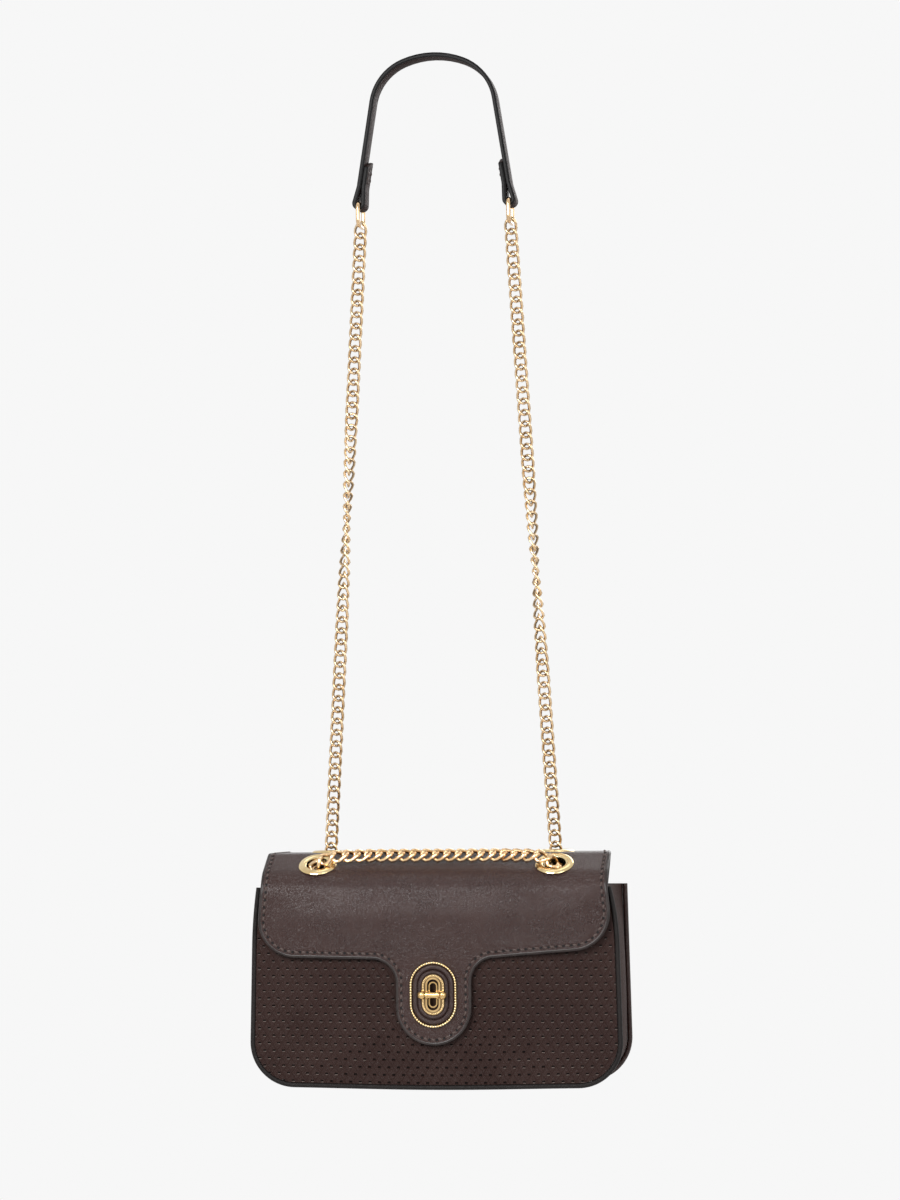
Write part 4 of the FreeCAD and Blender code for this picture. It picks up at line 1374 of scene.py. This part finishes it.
def wrap(points):
    """Lays flat leather over the bag: x across, -y along from the back seam, z out of the face."""
    travel = -points[:, 1]
    result = np.zeros_like(points)
    result[:, 0] = points[:, 0]
    here = np.array((BACK_OUT_Y, SEAM_Z))
    facing = math.pi / 2
    start = 0.0
    for place, (length, turn) in enumerate(PROFILE):
        chosen = np.full(len(points), True)
        if place > 0:
            chosen &= travel >= start
        if place < len(PROFILE) - 1:
            chosen &= travel < start + length
        ahead = np.array((math.cos(facing), math.sin(facing)))
        left = np.array((-ahead[1], ahead[0]))
        part = travel[chosen] - start
        if turn:
            radius = length / turn
            centre = here + left * radius
            angle = facing + part / radius
            out = np.stack([np.sin(angle), -np.cos(angle)], 1)
            base = centre + out * radius
            here = centre + radius * np.array((math.sin(facing + turn), -math.cos(facing + turn)))
            facing += turn
        else:
            out = np.repeat(-left[None], len(part), 0)
            base = here + part[:, None] * ahead
            here = here + ahead * length
        result[chosen, 1:] = base + out * points[chosen, 2][:, None]
        start += length
    return result


def flat_travel(drop):
    """Distance along the leather, from the back seam, to a level on the front below the bag's top."""
    return profile_length(BEFORE_FRONT) + drop - SLOPE_RISE - FRONT_REACH


def slope_travel(drop):
    """Distance along the leather to a place on the slope, measured from the fold."""
    return profile_length(BEFORE_SLOPE) + drop - FOLD_REACH


def flap_corners(inset, start):
    """Corners and radii of the flat leather, inset from its edge, from a distance off the back seam on."""
    side = flat_travel(FLAP_SIDE_DROP) - inset
    middle = flat_travel(FLAP_MIDDLE_DROP) - inset
    tip = flat_travel(TOP_Z - TONGUE_Z)
    right = [
        (Vector((FLAP_BACK_HALF - inset, -start, 0)), FLAP_BACK_CORNER),
        (Vector((FLAP_TOP_HALF - inset, -slope_travel(0), 0)), FLAP_TOP_BEND),
        (Vector((FLAP_TOP_HALF - inset, -flat_travel(FLAP_WAIST_DROP), 0)), FLAP_WAIST_BEND),
        (Vector((FLAP_LOW_HALF - inset, -side, 0)), FLAP_CORNER - inset),
        (Vector((TONGUE_HALF - inset, -middle, 0)), TONGUE_FILLET + inset),
        (Vector((TONGUE_HALF - inset, -tip + inset, 0)), TONGUE_HALF - inset - TONGUE_END_GAP),
    ]
    left = mirrored(right)
    right[3][0].y += FLAP_LEAN
    left[-4][0].y -= FLAP_LEAN
    return zip(*left[-1:], *right, *left[:-1])


def settle(points):
    """Leather is never quite flat: a swell and slow waves on the front, calm at the lock and eyelets."""
    points = points.copy()
    x, travel = points[:, 0], -points[:, 1]
    seat_travel = slope_travel(EYELET_SLOPE_DROP)
    lock_travel = flat_travel(TOP_Z - LOCK.z)
    wide, tall = FLAP_CALM_AT_LOCK
    free = 1 - np.exp(-((x / wide) ** 2 + ((travel - lock_travel) / tall) ** 2))
    for side in (-1, 1):
        away = np.hypot(x - side * EYELET_X, travel - seat_travel)
        share = np.clip((away - FLAP_CALM_AT_EYELET) / FLAP_CALM_BLEND, 0, 1)
        free = free * share * share * (3 - 2 * share)
    first = seat_travel + SWELL_START
    share = np.clip((travel - first) / (flat_travel(FLAP_MIDDLE_DROP) - first), 0, 1)
    swell = np.sin(math.pi * share**SWELL_LOW) ** SWELL_ROUND
    across = np.clip(1 - (x / FLAP_LOW_HALF) ** 4, 0, 1)
    points[:, 2] += FLAP_FULLNESS * swell * across * free
    front = np.clip((travel - first) / WAVE_START, 0, 1) * free
    (across, shift), (down, drop) = LONG_WAVE
    wave = np.sin(x * across + shift) * np.sin(travel * down + drop)
    wave += SHORT_WAVE_SHARE * np.sin(x * SHORT_WAVE[0] + travel * SHORT_WAVE[1])
    points[:, 2] += WAVE_HEIGHT * front * wave
    return points


def flat_sheet(name, line, thickness, depth):
    """A leather sheet cut to a flat outline, its face at a depth below the flap's face."""
    corners, radii = line
    top = max(p.y for p in corners)
    low = min(p.y for p in corners)
    half = max(p.x for p in corners)
    bpy.ops.mesh.primitive_grid_add(
        x_subdivisions=round(2 * half / SHEET_CELL[0]),
        y_subdivisions=round((top - low) / SHEET_CELL[1]),
        size=1,
        location=(0, (top + low) / 2, -depth),
    )
    bpy.context.object.scale = (2 * half + SHEET_MARGIN, top - low + SHEET_MARGIN, 1)
    sheet = fresh(name)
    modify(sheet, "SOLIDIFY", thickness=thickness, offset=-1.0)
    lowered = [p - Vector((0, 0, depth + CUT_DEPTH / 2)) for p in corners]
    cut(sheet, cutter(name + "_outline", route(lowered, radii, True)), "INTERSECT")
    return sheet


def punch_holes(sheet, x, travel, radius):
    """A round hole on each side."""
    for side in (-1, 1):
        bpy.ops.mesh.primitive_cylinder_add(
            vertices=PUNCH_SIDES, radius=radius, depth=CUT_DEPTH, location=(side * x, -travel, 0)
        )
        cut(sheet, fresh("punch"), "DIFFERENCE")


def cut_slot(sheet, size):
    """The upright slot of the lock."""
    lock_y = -flat_travel(TOP_Z - LOCK.z)
    line = oval(*size, lambda x, y: Vector((x, y, -CUT_DEPTH / 2)) + Vector((0, lock_y, 0)))
    cut(sheet, cutter("slot", line), "DIFFERENCE")


def bend_with_flap(piece):
    """Settles and wraps a flat piece over the bag."""
    shape(piece, settle, wrap)
    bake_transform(piece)


def make_flap():
    """Flap and top in one leather, with painted edge, stitching and lining."""
    seat_travel = slope_travel(EYELET_SLOPE_DROP)
    back_travel = profile_length(BEFORE_TOP) + BACK_OUT_Y - TOP_BACK_RADIUS - BACK_EYELET_Y
    sheet = flat_sheet("flap_leather", flap_corners(0, 0), FLAP_THICKNESS, 0)
    punch_holes(sheet, EYELET_X, seat_travel, EYELET_HOLE)
    punch_holes(sheet, BACK_EYELET_X, back_travel, EYELET_HOLE)
    cut_slot(sheet, SLOT_OPENING)
    bend_with_flap(sheet)
    smooth(sheet, LEATHER_SMOOTH)
    dress(sheet, leather["chocolate_leather"])
    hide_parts("flap", "top_panel")

    corners, radii = flap_corners(EDGE_INSET, 0)
    middle = [p - Vector((0, 0, FLAP_THICKNESS / 2)) for p in corners]
    edge = tube("flap_edge", route(middle, radii, True), EDGE_RADIUS, EDGE_SIDES, EDGE_STEPS)
    bend_with_flap(edge)
    smooth(edge, ROUND_SMOOTH)
    dress(edge, edge_paint)

    line = route(*flap_corners(STITCH_INSET, STITCH_BACK), True)
    bend_with_flap(stitch_row("flap_stitches", line, STITCH_LIFT, UP))

    outline = flap_corners(LINING_MARGIN, slope_travel(LINING_MARGIN))
    lining = flat_sheet("flap_lining_cloth", outline, LINING_THICKNESS, FLAP_THICKNESS)
    punch_holes(lining, EYELET_X, seat_travel, LINING_EYELET_HOLE)
    cut_slot(lining, LINING_SLOT)
    shape(lining, settle, wrap)
    smooth(lining, LEATHER_SMOOTH)
    dress(lining, lining_twill)
    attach(lining, "flap")
    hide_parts("flap_lining")


# Lock


def lock_oval(size, change, y):
    """An upright oval line on the front of the bag, round the lock: a size with a change to it."""
    width, height = (length + change for length in size)
    return oval(width, height, lambda x, z: Vector((x + LOCK.x, y, z + LOCK.z)))


def at_y(points, y):
    """The same points, at new places from front to back."""
    return np.stack([points[:, 0], y, points[:, 2]], 1)


def bead_row(name, line, radius, pitch):
    """A row of small gold beads along a line on the front of the flap."""
    bpy.ops.mesh.primitive_uv_sphere_add(
        segments=BEAD_SEGMENTS, ring_count=BEAD_RINGS, radius=radius, rotation=(math.pi / 2, 0, 0)
    )
    bead = fresh(name + "_one")
    shape(bead, lambda p: p * (1.0, BEAD_FLATNESS, 1.0))
    beads = copy_to(bead, [Matrix.Translation(point) for point, direction in along(line, pitch)], name)
    only(beads)
    bpy.ops.object.shade_smooth()
    dress(beads, gold["eyelet_gold"])
    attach(beads, "flap")


def make_lock():
    """Gold rim with a beaded edge, a padded ring inside it, and a beaded edge on the slot plate."""
    rim_y = LOCK_FACE_Y - RIM_RISE * RIM_MIDDLE_SHARE
    line = lock_oval(RIM_SIZE, -RIM_BAND, rim_y)
    rim = tube("lock_rim_gold", line, RIM_BAND * RIM_WIRE_SHARE, RIM_SIDES, LOCK_STEPS)
    shape(rim, lambda p: at_y(p, rim_y + (p[:, 1] - rim_y) * RIM_STRETCH))
    smooth(rim, ROUND_SMOOTH)
    dress(rim, gold["eyelet_gold"])
    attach(rim, "flap")
    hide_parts("lock_rim")
    line = lock_oval(RIM_SIZE, -RIM_BAND, LOCK_FACE_Y - RIM_RISE * RIM_BEAD_SHARE)
    bead_row("lock_rim_beads", line, *RIM_BEAD)
    line = lock_oval(SLOT_PLATE_SIZE, -PLATE_BEAD_INSET, LOCK_FACE_Y - PLATE_BEAD_RISE)
    bead_row("slot_plate_beads", line, *PLATE_BEAD)
    rings = []
    for size, change, half, rise in PAD_RINGS:
        ring = tube("lock_pad_ring", lock_oval(size, change, LOCK_FACE_Y), half, PAD_SIDES, LOCK_STEPS)
        shape(ring, lambda p: at_y(p, LOCK_FACE_Y - np.maximum(LOCK_FACE_Y - p[:, 1], 0) / half * rise))
        rings.append(ring)
    pad = join(rings, "lock_pad_leather")
    smooth(pad, ROUND_SMOOTH)
    dress(pad, leather["lock_leather"])
    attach(pad, "flap")
    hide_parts("lock_pad")


def finish_metal():
    """Carried-over metal and board get their finishes."""
    own = {"base_board": pressed_board, "lock_base": gold["boss_gold"], "slot_plate": gold["plate_gold"]}
    for name, node in nodes.items():
        if node.hide_render:
            continue
        usual = gold["eyelet_gold" if "eyelet" in name else "lock_gold"]
        node.data.materials.clear()
        node.data.materials.append(own.get(name, usual))


# Studio


def make_background():
    """A pale background for the camera and for reflections, and a dimmer room for light."""
    world = bpy.data.worlds.new("studio")
    bpy.context.scene.world = world
    world.use_nodes = True
    tree = world.node_tree
    tree.nodes.clear()
    path = add_node(tree, "LightPath", {}).outputs
    seen = math_node(tree, "MAXIMUM", path["Is Camera Ray"], path["Is Glossy Ray"])
    seen = math_node(tree, "MAXIMUM", seen, path["Is Transmission Ray"])
    room, backdrop = (
        add_node(tree, "Background", {"Color": tone}).outputs[0] for tone in (ROOM_TONE, BACKDROP_TONE)
    )
    mix = add_node(tree, "MixShader", {0: seen, 1: room, 2: backdrop})
    add_node(tree, "OutputWorld", {"Surface": mix.outputs[0]})


def make_floor():
    """A pale paper floor that fades out towards its edge."""
    bpy.ops.mesh.primitive_plane_add(size=FLOOR_SIZE, location=(0, 0, FLOOR_Z))
    floor = fresh("floor")
    paper, tree, shader = finish_start("paper_floor", roughness=0.9)
    tone = mix_colour(tree, noise(tree, object_place(tree), scale=3.0, detail=2.0), *FLOOR_TONES)
    axes = object_axes(tree)
    squares = [math_node(tree, "MULTIPLY", axes[axis], axes[axis]) for axis in "XY"]
    reach = math_node(tree, "POWER", math_node(tree, "ADD", *squares), 0.5)
    fade = ramp(tree, reach, *FLOOR_FADE, 1.0, 0.0)
    feed_all(tree, shader, {"Base Color": tone, "Alpha": fade})
    floor.data.materials.append(paper)


def make_lamps():
    """Four soft lamps."""
    for name, (place, aim_z, size, power) in LAMPS.items():
        bpy.ops.object.light_add(type="AREA", location=place)
        lamp = bpy.context.object
        lamp.name = name
        lamp.data.size = size
        lamp.data.energy = power
        aim = Vector((0, 0, aim_z)) - Vector(place)
        lamp.rotation_euler = aim.to_track_quat("-Z", "Y").to_euler()


def make_camera():
    """The camera, at the photograph's viewing angle."""
    level = math.cos(CAMERA_RISE)
    back = Vector((math.sin(CAMERA_TURN) * level, -math.cos(CAMERA_TURN) * level, math.sin(CAMERA_RISE)))
    place = CAMERA_TARGET + CAMERA_DISTANCE * back
    bpy.ops.object.camera_add(location=place)
    camera = bpy.context.object
    camera.name = "camera"
    camera.data.sensor_fit = "VERTICAL"
    camera.data.sensor_height = CAMERA_SENSOR
    camera.data.lens = CAMERA_LENS
    look = (CAMERA_TARGET - place).to_track_quat("-Z", "Y").to_matrix()
    camera.rotation_euler = (look @ Matrix.Rotation(CAMERA_ROLL, 3, "Z")).to_euler()
    bpy.context.scene.camera = camera


make_strap()
make_end_rings()
make_chains()
make_panel("front_panel_leather", -1, "front_panel", "front_piping")
make_panel("back_panel_leather", 1, "back_panel", "back_piping")
make_gusset()
make_lining()
make_flap()
make_lock()
finish_metal()
bpy.context.scene.view_settings.view_transform = "Standard"
make_background()
make_floor()
make_lamps()
make_camera()
